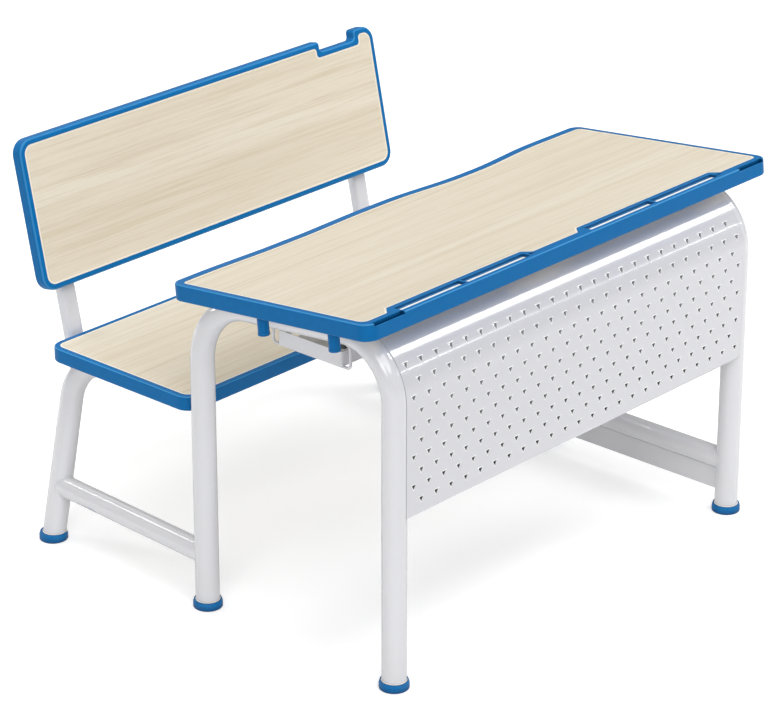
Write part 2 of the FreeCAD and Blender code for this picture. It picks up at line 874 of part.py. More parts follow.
def punch_rows(body, x, z, columns, rows):
    """Punch every second row of triangles, from the hole at the given place."""
    sketch = new_sketch(body, "XZ_Plane")
    half = dim.hole_width / 2
    corners = [(x, z), (x + half, z + dim.hole_height), (x - half, z + dim.hole_height)]
    draw(sketch, corners, [None] * len(corners))
    punch = pocket(body, sketch, tube_radius + dim.overrun, backwards=True)
    pattern = body.newObject("PartDesign::LinearPattern", body.Name + "_rows")
    pattern.Originals = [punch]
    pattern.Direction = (sketch, ["H_Axis"])
    pattern.Direction2 = (sketch, ["V_Axis"])
    pattern.Mode = "Extent"
    pattern.Mode2 = "Extent"
    pattern.Occurrences = columns
    pattern.Occurrences2 = rows
    bind(pattern, "Length", dim.hole_pitch * (columns - 1))
    bind(pattern, "Length2", dim.hole_row_pitch * 2 * (rows - 1))
    body.Tip = pattern
    doc.recompute()


# Book tray

def make_tray():
    body = new_body("book_tray")
    half = tray_width / 2
    sheet_width = dim.tray_sheet
    outline = new_sketch(body, "XY_Plane")
    corners = [(-half, ZERO), (half, ZERO), (half, dim.tray_depth), (-half, dim.tray_depth)]
    draw(outline, corners, [dim.tray_corner_radius] * 2 + [None] * 2)
    pad(body, outline, dim.tray_wall_height)
    hollow = new_sketch(body, "XY_Plane", dim.tray_wall_height)
    inner = half - sheet_width
    rear = dim.tray_depth + dim.overrun
    corners = [(-inner, sheet_width), (inner, sheet_width), (inner, rear), (-inner, rear)]
    draw(hollow, corners, [dim.tray_corner_radius - sheet_width] * 2 + [None] * 2)
    pocket(body, hollow, dim.tray_wall_height - sheet_width)
    place(body, ZERO, station(dim.tray_front), tray_floor)
    keep(body, "book_tray")


def make_cradle(side):
    """Bend the wire that carries one end of the tray, and hang it from the top by two clips."""
    label = SIDE_NAMES[side] + "_tray_cradle"
    floor = tray_floor + dim.tray_sheet
    rear_inner = tray_rear - dim.cradle_inner_gap
    rear_outer = tray_rear + dim.cradle_rear_gap
    front_outer = dim.tray_front - dim.cradle_front_gap
    front_inner = dim.tray_front + dim.cradle_inner_gap
    corners = [(rear_inner, floor), (rear_inner, wire_high), (rear_outer, wire_high), (rear_outer, wire_low)]
    corners += [(front_outer, wire_low), (front_outer, wire_high)]
    corners += [(front_inner, wire_high), (front_inner, floor)]
    wire = bent_tube(label, corners, [dim.wire_bend_radius] * (len(corners) - 2), wire_radius)
    place(wire, cradle_offset * side, -middle)
    keep(wire, label)
    clips = new_body(label + "_clip_blanks", several=True)
    flanges = new_sketch(clips, "XY_Plane")
    half_flange = dim.clip_flange_width / 2
    half_depth = dim.clip_depth / 2
    reach = cradle_offset * side
    for along, below in clip_places():
        low = (reach - half_flange, along - half_depth)
        draw_box(flanges, low, (reach + half_flange, along + half_depth))
    for x, y in clip_screw_spots(side):
        draw_circle(flanges, x, y, screw_hole_radius)
    pad(clips, flanges, dim.clip_flange_thickness, backwards=True)
    for along, below in clip_places():
        stem = new_sketch(clips, "XY_Plane")
        half_width = dim.clip_width / 2
        low = (reach - half_width, along - half_depth)
        draw_box(stem, low, (reach + half_width, along + half_depth))
        pad(clips, stem, -below + wire_radius + dim.clip_wrap, backwards=True)
    top_frame.seat(clips)
    clip_label = SIDE_NAMES[side] + "_tray_clips"
    keep(combine("Cut", clip_label, clips, wire), clip_label)


def make_tray_rail():
    rail = cylinder("tray_rail", wire_radius, (cradle_offset - wire_radius) * 2)
    start = wire_radius - cradle_offset
    height = tray_floor + dim.rail_rise
    place(rail, start, station(tray_rear - dim.cradle_inner_gap), height, ALONG, QUARTER_TURN)
    keep(rail, "tray_rail")


# Bench side frames, low bars and feet

def bench_leg_core(side):
    """Fill the space of a bench leg, for the pieces that are shaped round it."""
    core = cylinder(SIDE_NAMES[side] + "_bench_leg_core", tube_radius, rail_height)
    place(core, half_spacing * side, station(bench_foot_depth), ZERO, ALONG, -(splay * side))
    return core


def desk_leg_core(side, y):
    core = cylinder(SIDE_NAMES[side] + "_desk_leg_core", tube_radius, dim.panel_bottom)
    place(core, half_spacing * side, station(y))
    return core


def make_bench_frame(side):
    """Bend the leg forward into the seat rail, cut its foot level, and plug the rail's front end."""
    label = SIDE_NAMES[side] + "_bench_frame"
    rise = rail_height / cosine(splay)
    corners = [(ZERO, -tube_radius), (ZERO, rise), (rail_end - bench_foot_depth, rise)]
    tube = bent_tube(label + "_tube", corners, [dim.bench_bend_radius], tube_radius, dim.tube_wall)
    core = bent_tube(label + "_core", corners, [dim.bench_bend_radius], tube_radius)
    for thing in (tube, core):
        place(thing, half_spacing * side, station(bench_foot_depth), ZERO, ALONG, -(splay * side))
    floor = block(label + "_floor", dim.tube_diameter * 2, dim.tube_diameter * 2, dim.tube_diameter)
    corner_x = half_spacing * side - dim.tube_diameter
    corner_y = station(bench_foot_depth - dim.tube_diameter)
    place(floor, corner_x, corner_y, dim.foot_base - dim.tube_diameter)
    keep(combine("Cut", label, tube, floor), label)
    plug = new_body(SIDE_NAMES[side] + "_rail_plug")
    rim = new_sketch(plug, "XZ_Plane")
    draw_circle(rim, ZERO, ZERO, tube_radius)
    pad(plug, rim, dim.rail_plug_rim)
    spigot = new_sketch(plug, "XZ_Plane")
    draw_circle(spigot, ZERO, ZERO, tube_radius - dim.tube_wall - dim.plug_clearance)
    pad(plug, spigot, dim.rail_plug_length, backwards=True)
    place(plug, rail_offset * side, station(rail_end), rail_height)
    keep(plug, SIDE_NAMES[side] + "_rail_plug")
    return core


def make_stretcher(side):
    """Run a tube from the desk's rear leg to the bench leg, shaped to both."""
    label = SIDE_NAMES[side] + "_stretcher"
    inward = dim.stretcher_height * tangent(splay)
    run = bench_foot_depth - leg_depth
    length = root(inward * inward + run * run)
    tube = straight_tube(label + "_tube", dim.stretcher_diameter / 2, dim.tube_wall, length)
    turn = slope_angle(inward, run) * side
    place(tube, half_spacing * side, station(leg_depth), dim.stretcher_height, UPRIGHT, turn)
    trimmed = combine("Cut", label + "_trimmed", tube, desk_leg_core(side, leg_depth))
    keep(combine("Cut", label, trimmed, bench_leg_core(side)), label)


def make_right_bars():
    """Join the desk's two right legs by a tube with a flat strip welded under it."""
    cores = [desk_leg_core(RIGHT, y) for y in (ZERO, leg_depth)]
    bar = straight_tube("right_foot_bar_tube", dim.stretcher_diameter / 2, dim.tube_wall, leg_depth)
    place(bar, half_spacing, -middle, dim.stretcher_height)
    strip_bottom = dim.stretcher_height - dim.stretcher_diameter / 2 - dim.strip_height
    strip = block("right_kick_strip_blank", dim.strip_thickness, leg_depth, dim.strip_height)
    place(strip, half_spacing - dim.strip_thickness / 2, -middle, strip_bottom)
    for blank, label in ((bar, "right_foot_bar"), (strip, "right_kick_strip")):
        trimmed = combine("Cut", label + "_trimmed", blank, cores[0])
        keep(combine("Cut", label, trimmed, cores[1]), label)


def foot_body(label, bored):
    """Turn a foot cap, with a straight bore for a tube or without one."""
    body = new_body(label)
    profile = new_sketch(body, "XZ_Plane")
    outer = dim.foot_diameter / 2
    top = dim.foot_top_diameter / 2
    bore = tube_radius + dim.foot_clearance
    corners = [(ZERO, ZERO), (outer, ZERO), (outer, dim.foot_shoulder), (top, dim.foot_height)]
    radii = [None, dim.foot_round, dim.foot_round, None]
    if bored:
        corners += [(bore, dim.foot_height), (bore, dim.foot_base), (ZERO, dim.foot_base)]
        radii += [None, None, None]
    else:
        corners += [(ZERO, dim.foot_height)]
        radii += [None]
    draw(profile, corners, radii)
    turned = body.newObject("PartDesign::Revolution", label + "_turned")
    turned.Profile = profile
    turned.ReferenceAxis = (profile, ["V_Axis"])
    doc.recompute()
    return body


def make_desk_feet():
    for side in (LEFT, RIGHT):
        for place_name, y in (("front", ZERO), ("rear", leg_depth)):
            label = "%s_%s_foot" % (SIDE_NAMES[side], place_name)
            foot = foot_body(label, bored=True)
            place(foot, half_spacing * side, station(y))
            keep(foot, label)


def make_bench_foot(side):
    """Turn a foot cap and bore it along the slanted leg, down to a level floor."""
    label = SIDE_NAMES[side] + "_bench_foot"
    cap = foot_body(label + "_cap", bored=False)
    place(cap, half_spacing * side, station(bench_foot_depth))
    bore = cylinder(label + "_bore", tube_radius + dim.foot_clearance, dim.foot_height * 2)
    place(bore, half_spacing * side, station(bench_foot_depth), ZERO, ALONG, -(splay * side))
    room = block(label + "_room", dim.foot_diameter * 2, dim.foot_diameter * 2, dim.foot_height * 2)
    corner_x = half_spacing * side - dim.foot_diameter
    place(room, corner_x, station(bench_foot_depth - dim.foot_diameter), dim.foot_base)
    socket = combine("Common", label + "_socket", bore, room)
    keep(combine("Cut", label, cap, socket), label)


# Seat

def seat_outline(inset):
    half = seat_width / 2 - inset
    return (-half, inset), (half, dim.seat_depth - inset)


def make_seat():
    edge = new_body("seat_edge")
    outline = new_sketch(edge, "XY_Plane")
    draw_box(outline, *seat_outline(ZERO), dim.seat_corner_radius)
    draw_box(outline, *seat_outline(dim.seat_rim), dim.seat_corner_radius - dim.seat_rim)
    pad(edge, outline, dim.seat_thickness)
    soften(edge, dim.edge_round, rim_test(edge, "Z", dim.seat_thickness))
    soften(edge, dim.edge_round, rim_test(edge, "Z", ZERO))
    settle_on_seat(edge)
    keep(edge, "seat_edge")
    board = new_body("seat_board")
    outline = new_sketch(board, "XY_Plane")
    draw_box(outline, *seat_outline(dim.seat_rim), dim.seat_corner_radius - dim.seat_rim)
    pad(board, outline, dim.seat_thickness - dim.rim_rise)
    pilots = new_sketch(board, "XY_Plane")
    for x, y in seat_lug_spots(LEFT) + seat_lug_spots(RIGHT):
        draw_circle(pilots, x, y, screw_hole_radius)
    pocket(board, pilots, dim.screw_bite, backwards=True)
    settle_on_seat(board)
    keep(board, "seat_board")


# Backrest

def draw_backrest(sketch, inset):
    """Draw the backrest's outline, or a line set in from it, with the notch near its right end."""
    half = backrest_width / 2 - inset
    top = dim.backrest_height - inset
    notch_right = backrest_width / 2 - dim.notch_end + inset
    notch_left = notch_right - dim.notch_width - inset * 2
    notch_floor = top - dim.notch_depth
    corners = [(-half, inset), (half, inset), (half, top), (notch_right, top), (notch_right, notch_floor)]
    corners += [(notch_left, notch_floor), (notch_left, top), (-half, top)]
    corner = dim.backrest_corner_radius - inset
    radii = [corner] * 3 + [dim.notch_radius] * 4 + [corner]
    draw(sketch, corners, radii)


def bolt_heights():
    return (dim.bolt_lower_rise, dim.bolt_lower_rise + dim.bolt_pitch)


def make_backrest():
    edge = new_body("backrest_edge")
    outline = new_sketch(edge, "XZ_Plane")
    draw_backrest(outline, ZERO)
    draw_backrest(outline, dim.backrest_rim)
    pad(edge, outline, dim.backrest_thickness, backwards=True)
    soften(edge, dim.backrest_round, rim_test(edge, "Y", ZERO))
    soften(edge, dim.backrest_round, rim_test(edge, "Y", dim.backrest_thickness))
    back_frame.seat(edge)
    keep(edge, "backrest_edge")
    board = new_body("backrest_board")
    outline = new_sketch(board, "XZ_Plane", -dim.rim_rise)
    draw_backrest(outline, dim.backrest_rim)
    pad(board, outline, dim.backrest_thickness - dim.rim_rise, backwards=True)
    sockets = new_sketch(board, "XZ_Plane", -dim.backrest_thickness)
    for side in (LEFT, RIGHT):
        for rise in bolt_heights():
            draw_circle(sockets, rail_offset * side, rise, dim.bolt_diameter / 2 + dim.screw_clearance)
    pocket(board, sockets, dim.bolt_bite, backwards=True)
    back_frame.seat(board)
    keep(board, "backrest_board")


def draw_post(sketch, inset):
    half = dim.post_width / 2 - inset
    low = (-half, dim.backrest_thickness + inset)
    draw_box(sketch, low, (half, post_back - inset), dim.post_corner_radius - inset)


def make_post(side, bench_core):
    """Make a flat-oval post that stands on the bend of the bench frame, behind the backrest."""
    label = SIDE_NAMES[side] + "_backrest_post"
    body = new_body(label + "_tube")
    section = new_sketch(body, "XY_Plane", -post_drop)
    draw_post(section, ZERO)
    draw_post(section, dim.post_wall)
    pad(body, section, post_drop + post_top)
    holes = new_sketch(body, "XZ_Plane")
    for rise in bolt_heights():
        draw_circle(holes, ZERO, rise, dim.bolt_diameter / 2 + dim.screw_clearance)
    pocket(body, holes, post_back + dim.overrun)
    back_frame.seat(body, rail_offset * side)
    keep(combine("Cut", label, body, bench_core), label)


def make_post_caps():
    body = new_body("post_caps", several=True)
    rims = new_sketch(body, "XY_Plane", post_top)
    spigots = new_sketch(body, "XY_Plane", post_top)
    for side in (LEFT, RIGHT):
        for sketch, inset in ((rims, ZERO), (spigots, dim.post_wall + dim.plug_clearance)):
            centre = rail_offset * side
            half = dim.post_width / 2 - inset
            low = (centre - half, dim.backrest_thickness + inset)
            draw_box(sketch, low, (centre + half, post_back - inset), dim.post_corner_radius - inset)
    pad(body, rims, dim.post_cap_rim)
    pad(body, spigots, dim.post_cap_length, backwards=True)
    soften(body, dim.post_cap_round, rim_test(body, "Z", post_top + dim.post_cap_rim))
    back_frame.seat(body)
    keep(body, "post_caps")


def make_backrest_bolts():
    body = new_body("backrest_bolts", several=True)
    heads = new_sketch(body, "XZ_Plane", -post_back)
    shanks = new_sketch(body, "XZ_Plane", -post_back)
    for side in (LEFT, RIGHT):
        for rise in bolt_heights():
            draw_circle(heads, rail_offset * side, rise, dim.bolt_head_diameter / 2)
            draw_circle(shanks, rail_offset * side, rise, dim.bolt_diameter / 2)
    pad(body, heads, dim.bolt_head_height, backwards=True)
    pad(body, shanks, dim.post_depth + dim.bolt_bite)
    soften(body, dim.screw_head_round, rim_test(body, "Y", post_back + dim.bolt_head_height))
    back_frame.seat(body)
    keep(body, "backrest_bolts")


# The whole desk

make_top_board()
make_top_edge()
make_groove_liners()
make_modesty_panel()
make_tray()
make_tray_rail()
make_right_bars()
make_desk_feet()
make_seat()
make_backrest()
make_post_caps()
make_backrest_bolts()
make_fixings()
for side in (LEFT, RIGHT):
    make_bag_pegs(side)
    make_desk_frame(side)
    make_cradle(side)
    make_post(side, make_bench_frame(side))
    make_stretcher(side)
    make_bench_foot(side)
doc.recompute()

for thing in doc.Objects:
    if "Invalid" in thing.State or "Error" in thing.State:
        raise ValueError("%s failed to build" % thing.Label)
for node in nodes:
    if node.Shape.isNull() or not node.Shape.isValid():
        raise ValueError("%s has no valid shape" % node.Label)

os.makedirs("parts", exist_ok=True)
for node in nodes:
    node.Shape.exportStep("parts/%s.step" % node.Label)
    print("%-22s %2d solids %9.0f mm3" % (node.Label, len(node.Shape.Solids), node.Shape.Volume))
whole = Part.makeCompound([node.Shape for node in nodes]).BoundBox
print("whole: X %.1f to %.1f, Y %.1f to %.1f, Z %.1f to %.1f" % (
    whole.XMin, whole.XMax, whole.YMin, whole.YMax, whole.ZMin, whole.ZMax))
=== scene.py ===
"""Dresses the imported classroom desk: finishes, seam lines, weld beads, drive recesses and a plain studio."""

from __future__ import annotations

import json
import logging
import math
from collections.abc import Callable, Iterable, Sequence
from dataclasses import dataclass, field, replace
from enum import Enum

import bmesh
import bpy
from mathutils import Matrix, Vector

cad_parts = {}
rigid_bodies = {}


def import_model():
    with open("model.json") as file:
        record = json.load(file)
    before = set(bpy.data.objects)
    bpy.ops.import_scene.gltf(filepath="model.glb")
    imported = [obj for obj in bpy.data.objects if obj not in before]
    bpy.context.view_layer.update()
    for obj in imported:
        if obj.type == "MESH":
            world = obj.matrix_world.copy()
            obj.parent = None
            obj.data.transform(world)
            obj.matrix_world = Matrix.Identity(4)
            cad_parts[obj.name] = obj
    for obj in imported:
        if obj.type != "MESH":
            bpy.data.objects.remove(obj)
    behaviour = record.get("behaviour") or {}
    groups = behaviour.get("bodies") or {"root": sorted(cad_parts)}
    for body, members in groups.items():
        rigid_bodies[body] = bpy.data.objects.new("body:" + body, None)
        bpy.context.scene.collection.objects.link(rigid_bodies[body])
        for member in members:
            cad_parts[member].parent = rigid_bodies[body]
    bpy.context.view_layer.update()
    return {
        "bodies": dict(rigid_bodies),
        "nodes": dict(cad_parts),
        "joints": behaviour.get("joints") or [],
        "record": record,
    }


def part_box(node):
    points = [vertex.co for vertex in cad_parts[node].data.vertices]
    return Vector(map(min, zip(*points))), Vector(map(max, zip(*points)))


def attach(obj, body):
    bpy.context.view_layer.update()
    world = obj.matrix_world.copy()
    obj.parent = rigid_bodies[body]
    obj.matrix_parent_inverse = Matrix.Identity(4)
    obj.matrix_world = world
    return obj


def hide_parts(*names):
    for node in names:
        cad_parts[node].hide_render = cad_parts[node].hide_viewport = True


LOG = logging.getLogger("classroom_desk")
BODY = "root"
UP = Vector((0.0, 0.0, 1.0))
FULL_TURN = 2.0 * math.pi
WELD_GAP = 1e-6
GROWING = (0.0, 1.0)
FADING = (1.0, 0.0)

Ring = list[Vector]
Rgba = tuple[float, float, float, float]
Triple = tuple[float, float, float]
Pair = tuple[float, float]
Ends = tuple[object, object]
Values = dict[str | int, object]
ShaderNode = bpy.types.Node
Socket = bpy.types.NodeSocket


def linear(code: str) -> Rgba:
    """Turn a six-figure colour code into linear light.

    Args:
        code: Red, green and blue as three pairs of hexadecimal figures.

    Returns:
        Red, green, blue and a full alpha.
    """
    parts = [int(code[i:i + 2], 16) / 255.0 for i in (0, 2, 4)]
    low = [part / 12.92 if part <= 0.04045 else ((part + 0.055) / 1.055) ** 2.4 for part in parts]
    return low[0], low[1], low[2], 1.0


def turns(count: int) -> list[float]:
    """Give angles spread evenly over a full turn."""
    return [FULL_TURN * i / count for i in range(count)]


class Slot(Enum):
    """The material slots of the record."""

    BLUE = "blue_plastic"
    LAMINATE = "laminate"
    WHITE = "white_steel"
    ZINC = "zinc"
    GREY = "grey_plastic"
    PALE = "white_plastic"


class Side(Enum):
    """The two sides of the desk, as the sign of their X."""

    LEFT = -1.0
    RIGHT = 1.0

    @property
    def word(self) -> str:
        """Name of the side as the nodes use it."""
        return self.name.lower()


class Graph:
    """Adds the nodes of one shader tree and joins them."""

    # The mixing node repeats its socket names for each kind of value, so its colours go by number.
    mix_inputs = (0, 6, 7)
    mix_output = 2

    def __init__(self, tree: bpy.types.NodeTree) -> None:
        """Keep the tree that the nodes go into."""
        self.tree = tree

    def add(self, kind: str, inputs: Values | None = None, **settings: object) -> ShaderNode:
        """Add one node.

        Args:
            kind: Blender's name of the node type.
            inputs: Values or sockets for the node's inputs, by name or number.
            settings: Properties of the node itself.

        Returns:
            The new node.
        """
        node = self.tree.nodes.new(kind)
        for name, value in settings.items():
            setattr(node, name, value)
        for name, value in (inputs or {}).items():
            self.feed(node.inputs[name], value)
        return node

    def feed(self, socket: Socket, value: object) -> None:
        """Join a socket to another, or set its plain value.

        Args:
            socket: The input that takes the value.
            value: An output socket, a number, a vector or a colour.
        """
        if isinstance(value, Socket):
            self.tree.links.new(value, socket)
        else:
            socket.default_value = value

    def spot(self) -> Socket:
        """Give the place on the object that is shaded."""
        return self.add("ShaderNodeTexCoord").outputs["Object"]

    def upright(self, vector: Socket) -> Socket:
        """Give the part of a vector that points up."""
        return self.add("ShaderNodeSeparateXYZ", {"Vector": vector}).outputs["Z"]

    def noise(
        self, spot: Socket, scale: object, detail: float, rough: float = 0.55, twist: float = 0.0
    ) -> Socket:
        """Add a noise pattern of a given scale, with finer layers and a bend."""
        inputs = {"Vector": spot, "Scale": scale, "Detail": detail, "Roughness": rough, "Distortion": twist}
        return self.add("ShaderNodeTexNoise", inputs).outputs["Fac"]

    def spread(self, value: Socket, source: Ends, target: Ends) -> Socket:
        """Map a value from one range to another, held at the ends.

        Args:
            value: The value to map.
            source: Low and high end of the range it comes from.
            target: Low and high end of the range it goes to.

        Returns:
            The mapped value.
        """
        inputs = {"Value": value, "From Min": source[0], "From Max": source[1]}
        inputs.update({"To Min": target[0], "To Max": target[1]})
        return self.add("ShaderNodeMapRange", inputs).outputs["Result"]

    def blend(self, share: object, first: object, second: object) -> Socket:
        """Mix two colours, by the share of the second one."""
        inputs = dict(zip(self.mix_inputs, (share, first, second)))
        return self.add("ShaderNodeMix", inputs, data_type="RGBA").outputs[self.mix_output]

    def figure(self, operation: str, first: object, second: object) -> Socket:
        """Work out a sum, a difference or a product."""
        return self.add("ShaderNodeMath", {0: first, 1: second}, operation=operation).outputs[0]

    def times(self, first: object, second: object) -> Socket:
        """Multiply two values."""
        return self.figure("MULTIPLY", first, second)

    def facing(self, first: object, second: object) -> Socket:
        """Say how far two directions agree."""
        inputs = {0: first, 1: second}
        return self.add("ShaderNodeVectorMath", inputs, operation="DOT_PRODUCT").outputs["Value"]


class ShaderGroup:
    """An effect that several finishes share, built once."""

    name = ""
    inputs: dict[str, str] = {}
    outputs: dict[str, str] = {}

    def tree(self) -> bpy.types.NodeTree:
        """Give the group's tree, made on first use.

        Returns:
            The node tree.
        """
        known = bpy.data.node_groups.get(self.name)
        if known:
            return known
        tree = bpy.data.node_groups.new(self.name, "ShaderNodeTree")
        for direction, sockets in (("INPUT", self.inputs), ("OUTPUT", self.outputs)):
            for name, kind in sockets.items():
                tree.interface.new_socket(name=name, in_out=direction, socket_type="NodeSocket" + kind)
        graph = Graph(tree)
        made = self.fill(graph, graph.add("NodeGroupInput"))
        graph.add("NodeGroupOutput", made)
        return tree

    def fill(self, graph: Graph, given: ShaderNode) -> Values:
        """Build the effect from the group's inputs, and give a socket for each output."""
        raise NotImplementedError

    def place(self, graph: Graph, values: Values) -> ShaderNode:
        """Put the group into a finish, with that finish's values."""
        return graph.add("ShaderNodeGroup", values, node_tree=self.tree())


class SurfaceMottle(ShaderGroup):
    """Slight unevenness of a moulded, sprayed or plated surface."""

    name = "surface_mottle"
    inputs = {
        "Color": "Color", "Shade": "Float", "Scale": "Float", "Gloss Low": "Float", "Gloss High": "Float",
    }
    outputs = {"Color": "Color", "Roughness": "Float", "Height": "Float"}
    cloud_detail = 4.0
    cloud_ends = (0.3, 0.7)
    skin_fineness = 30.0
    skin_detail = 2.0

    def fill(self, graph: Graph, given: ShaderNode) -> Values:
        """Build clouds of shade and gloss with a fine skin over them.

        Args:
            graph: The tree to build in.
            given: The node that holds the group's inputs.

        Returns:
            A socket for each output, by name.
        """
        spot = graph.spot()
        shade = given.outputs["Shade"]
        clouds = graph.noise(spot, given.outputs["Scale"], self.cloud_detail)
        shades = (graph.figure("SUBTRACT", 1.0, shade), graph.figure("ADD", 1.0, shade))
        value = graph.spread(clouds, self.cloud_ends, shades)
        shaded = graph.add("ShaderNodeHueSaturation", {"Value": value, "Color": given.outputs["Color"]})
        fineness = graph.times(given.outputs["Scale"], self.skin_fineness)
        skin = graph.noise(spot, fineness, self.skin_detail)
        glosses = (given.outputs["Gloss Low"], given.outputs["Gloss High"])
        gloss = graph.spread(clouds, self.cloud_ends, glosses)
        return {"Color": shaded.outputs["Color"], "Roughness": gloss, "Height": skin}


@dataclass(frozen=True)
class GrainLayer:
    """One layer of the wood figure, drawn out along the width of the desk."""

    closeness: Triple
    detail: float
    ends: Pair
    strength: float
    tone: str = "Dark"
    rough: float = 0.6
    twist: float = 0.3

    def pattern(self, graph: Graph, spot: Socket) -> Socket:
        """Add the layer's stretched noise."""
        mapped = graph.add("ShaderNodeMapping", {"Vector": spot, "Scale": self.closeness})
        return graph.noise(mapped.outputs["Vector"], 1.0, self.detail, self.rough, self.twist)


class LaminateGrain(ShaderGroup):
    """Pale wood figure that runs along the width of the desk."""

    name = "laminate_grain"
    inputs = {"Light": "Color", "Middle": "Color", "Dark": "Color"}
    outputs = {"Color": "Color", "Roughness": "Float", "Height": "Float"}
    bands = GrainLayer((0.7, 13.0, 13.0), 3.0, (0.32, 0.76), 1.0, tone="Middle")
    streaks = GrainLayer((1.3, 64.0, 64.0), 6.0, (0.5, 0.78), 0.55)
    fibres = GrainLayer((5.0, 250.0, 250.0), 3.0, (0.46, 0.7), 0.36)
    pores = GrainLayer((24.0, 520.0, 520.0), 2.0, (0.62, 0.8), 0.35)
    gloss_ends = (0.3, 0.7)
    glosses = (0.34, 0.46)

    def fill(self, graph: Graph, given: ShaderNode) -> Values:
        """Lay broad bands, long streaks, fine fibres and short pores over each other.

        Args:
            graph: The tree to build in.
            given: The node that holds the group's inputs.

        Returns:
            A socket for each output, by name.
        """
        spot = graph.spot()
        color = given.outputs["Light"]
        patterns = {}
        for layer in (self.bands, self.streaks, self.fibres, self.pores):
            patterns[layer] = layer.pattern(graph, spot)
            share = graph.spread(patterns[layer], layer.ends, (0.0, layer.strength))
            color = graph.blend(share, color, given.outputs[layer.tone])
        gloss = graph.spread(patterns[self.streaks], self.gloss_ends, self.glosses)
        return {"Color": color, "Roughness": gloss, "Height": patterns[self.pores]}


class EdgeWearAndHighlight(ShaderGroup):
    """Edges that hands and feet wear, lightened also as a painted highlight: a mask for them and a rounded
    normal.
    """

    name = "edge_wear_and_highlight"
    inputs = {"Width": "Float", "Amount": "Float"}
    outputs = {"Mask": "Float", "Normal": "Vector"}
    samples = 6
    edge_mask_ends = (0.99, 0.8)
    patch_scale = 60.0
    patch_detail = 3.0
    patch_ends = (0.35, 0.65)
    patch_shares = (0.3, 1.0)

    def fill(self, graph: Graph, given: ShaderNode) -> Values:
        """Compare the rounded normal with the true one.

        Args:
            graph: The tree to build in.
            given: The node that holds the group's inputs.

        Returns:
            A socket for each output, by name.
        """
        bevel = graph.add("ShaderNodeBevel", {"Radius": given.outputs["Width"]}, samples=self.samples)
        rounded = bevel.outputs["Normal"]
        true = graph.add("ShaderNodeNewGeometry").outputs["True Normal"]
        bare_and_painted_shading = graph.spread(graph.facing(rounded, true), self.edge_mask_ends, GROWING)
        patches = graph.noise(graph.spot(), self.patch_scale, self.patch_detail)
        broken = graph.spread(patches, self.patch_ends, self.patch_shares)
        mask = graph.times(graph.times(bare_and_painted_shading, broken), given.outputs["Amount"])
        return {"Mask": mask, "Normal": rounded}


class FloorDust(ShaderGroup):
    """Thin dust that gathers near the floor."""

    name = "floor_dust"
    inputs = {"Height": "Float", "Amount": "Float"}
    outputs = {"Mask": "Float"}
    patch_scale = 35.0
    patch_detail = 5.0
    patch_ends = (0.4, 0.7)
    patch_shares = (0.2, 1.0)

    def fill(self, graph: Graph, given: ShaderNode) -> Values:
        """Fade patches of dust out from the floor upwards.

        Args:
            graph: The tree to build in.
            given: The node that holds the group's inputs.

        Returns:
            A socket for each output, by name.
        """
        spot = graph.spot()
        low = graph.spread(graph.upright(spot), (0.0, given.outputs["Height"]), FADING)
        patches = graph.noise(spot, self.patch_scale, self.patch_detail)
        broken = graph.spread(patches, self.patch_ends, self.patch_shares)
        return {"Mask": graph.times(graph.times(low, broken), given.outputs["Amount"])}


class CavityShade(ShaderGroup):
    """Painted shade in slots, corners and places close under another piece."""

    name = "cavity_shade"
    inputs = {"Reach": "Float", "Amount": "Float"}
    outputs = {"Mask": "Float"}
    samples = 8
    open_ends = (0.8, 0.42)

    def fill(self, graph: Graph, given: ShaderNode) -> Values:
        """Measure how far each spot is closed in.

        Args:
            graph: The tree to build in.
            given: The node that holds the group's inputs.

        Returns:
            A socket for each output, by name.
        """
        inputs = {"Distance": given.outputs["Reach"]}
        openness = graph.add("ShaderNodeAmbientOcclusion", inputs, samples=self.samples).outputs["AO"]
        deep = graph.spread(openness, self.open_ends, GROWING)
        return {"Mask": graph.times(deep, given.outputs["Amount"])}


class PaintedCrestHighlight(ShaderGroup):
    """Painted highlight on the rounded edges between a moulding's flat side and its walls."""

    name = "painted_crest_highlight"
    inputs = {"Outward": "Vector", "Amount": "Float"}
    outputs = {"Mask": "Float"}
    wall_ends = (0.3, 0.6)
    flat_ends = (0.86, 0.96)

    def fill(self, graph: Graph, given: ShaderNode) -> Values:
        """Pick the faces that lie between the moulding's flat side and its walls.

        Args:
            graph: The tree to build in.
            given: The node that holds the group's inputs.

        Returns:
            A socket for each output, by name.
        """
        normal = graph.add("ShaderNodeNewGeometry").outputs["Normal"]
        outward = graph.facing(normal, given.outputs["Outward"])
        rising = graph.spread(outward, self.wall_ends, GROWING)
        falling = graph.spread(outward, self.flat_ends, FADING)
        return {"Mask": graph.times(graph.times(rising, falling), given.outputs["Amount"])}


@dataclass(frozen=True)
class Finish:
    """A finish that becomes one material."""

    name: str

    def build(self) -> bpy.types.Material:
        """Make the material.

        Returns:
            The finished material.
        """
        material = bpy.data.materials.new(self.name)
        material.use_nodes = True
        material.node_tree.nodes.clear()
        graph = Graph(material.node_tree)
        graph.add("ShaderNodeOutputMaterial", {"Surface": self.shader(graph).outputs["BSDF"]})
        return material

    def shader(self, graph: Graph) -> ShaderNode:
        """Build the shader of the finish in the material's tree."""
        raise NotImplementedError

    @staticmethod
    def mottle(graph: Graph, color: str, shade: float, scale: float, gloss: Pair) -> ShaderNode:
        """Lay an uneven surface.

        Args:
            graph: The material's tree.
            color: Its colour code.
            shade: How far lighter and darker its clouds are.
            scale: How close the clouds are.
            gloss: Its lowest and highest roughness.

        Returns:
            The node of the surface.
        """
        values = {"Color": linear(color), "Shade": shade, "Scale": scale}
        values.update({"Gloss Low": gloss[0], "Gloss High": gloss[1]})
        return SurfaceMottle().place(graph, values)


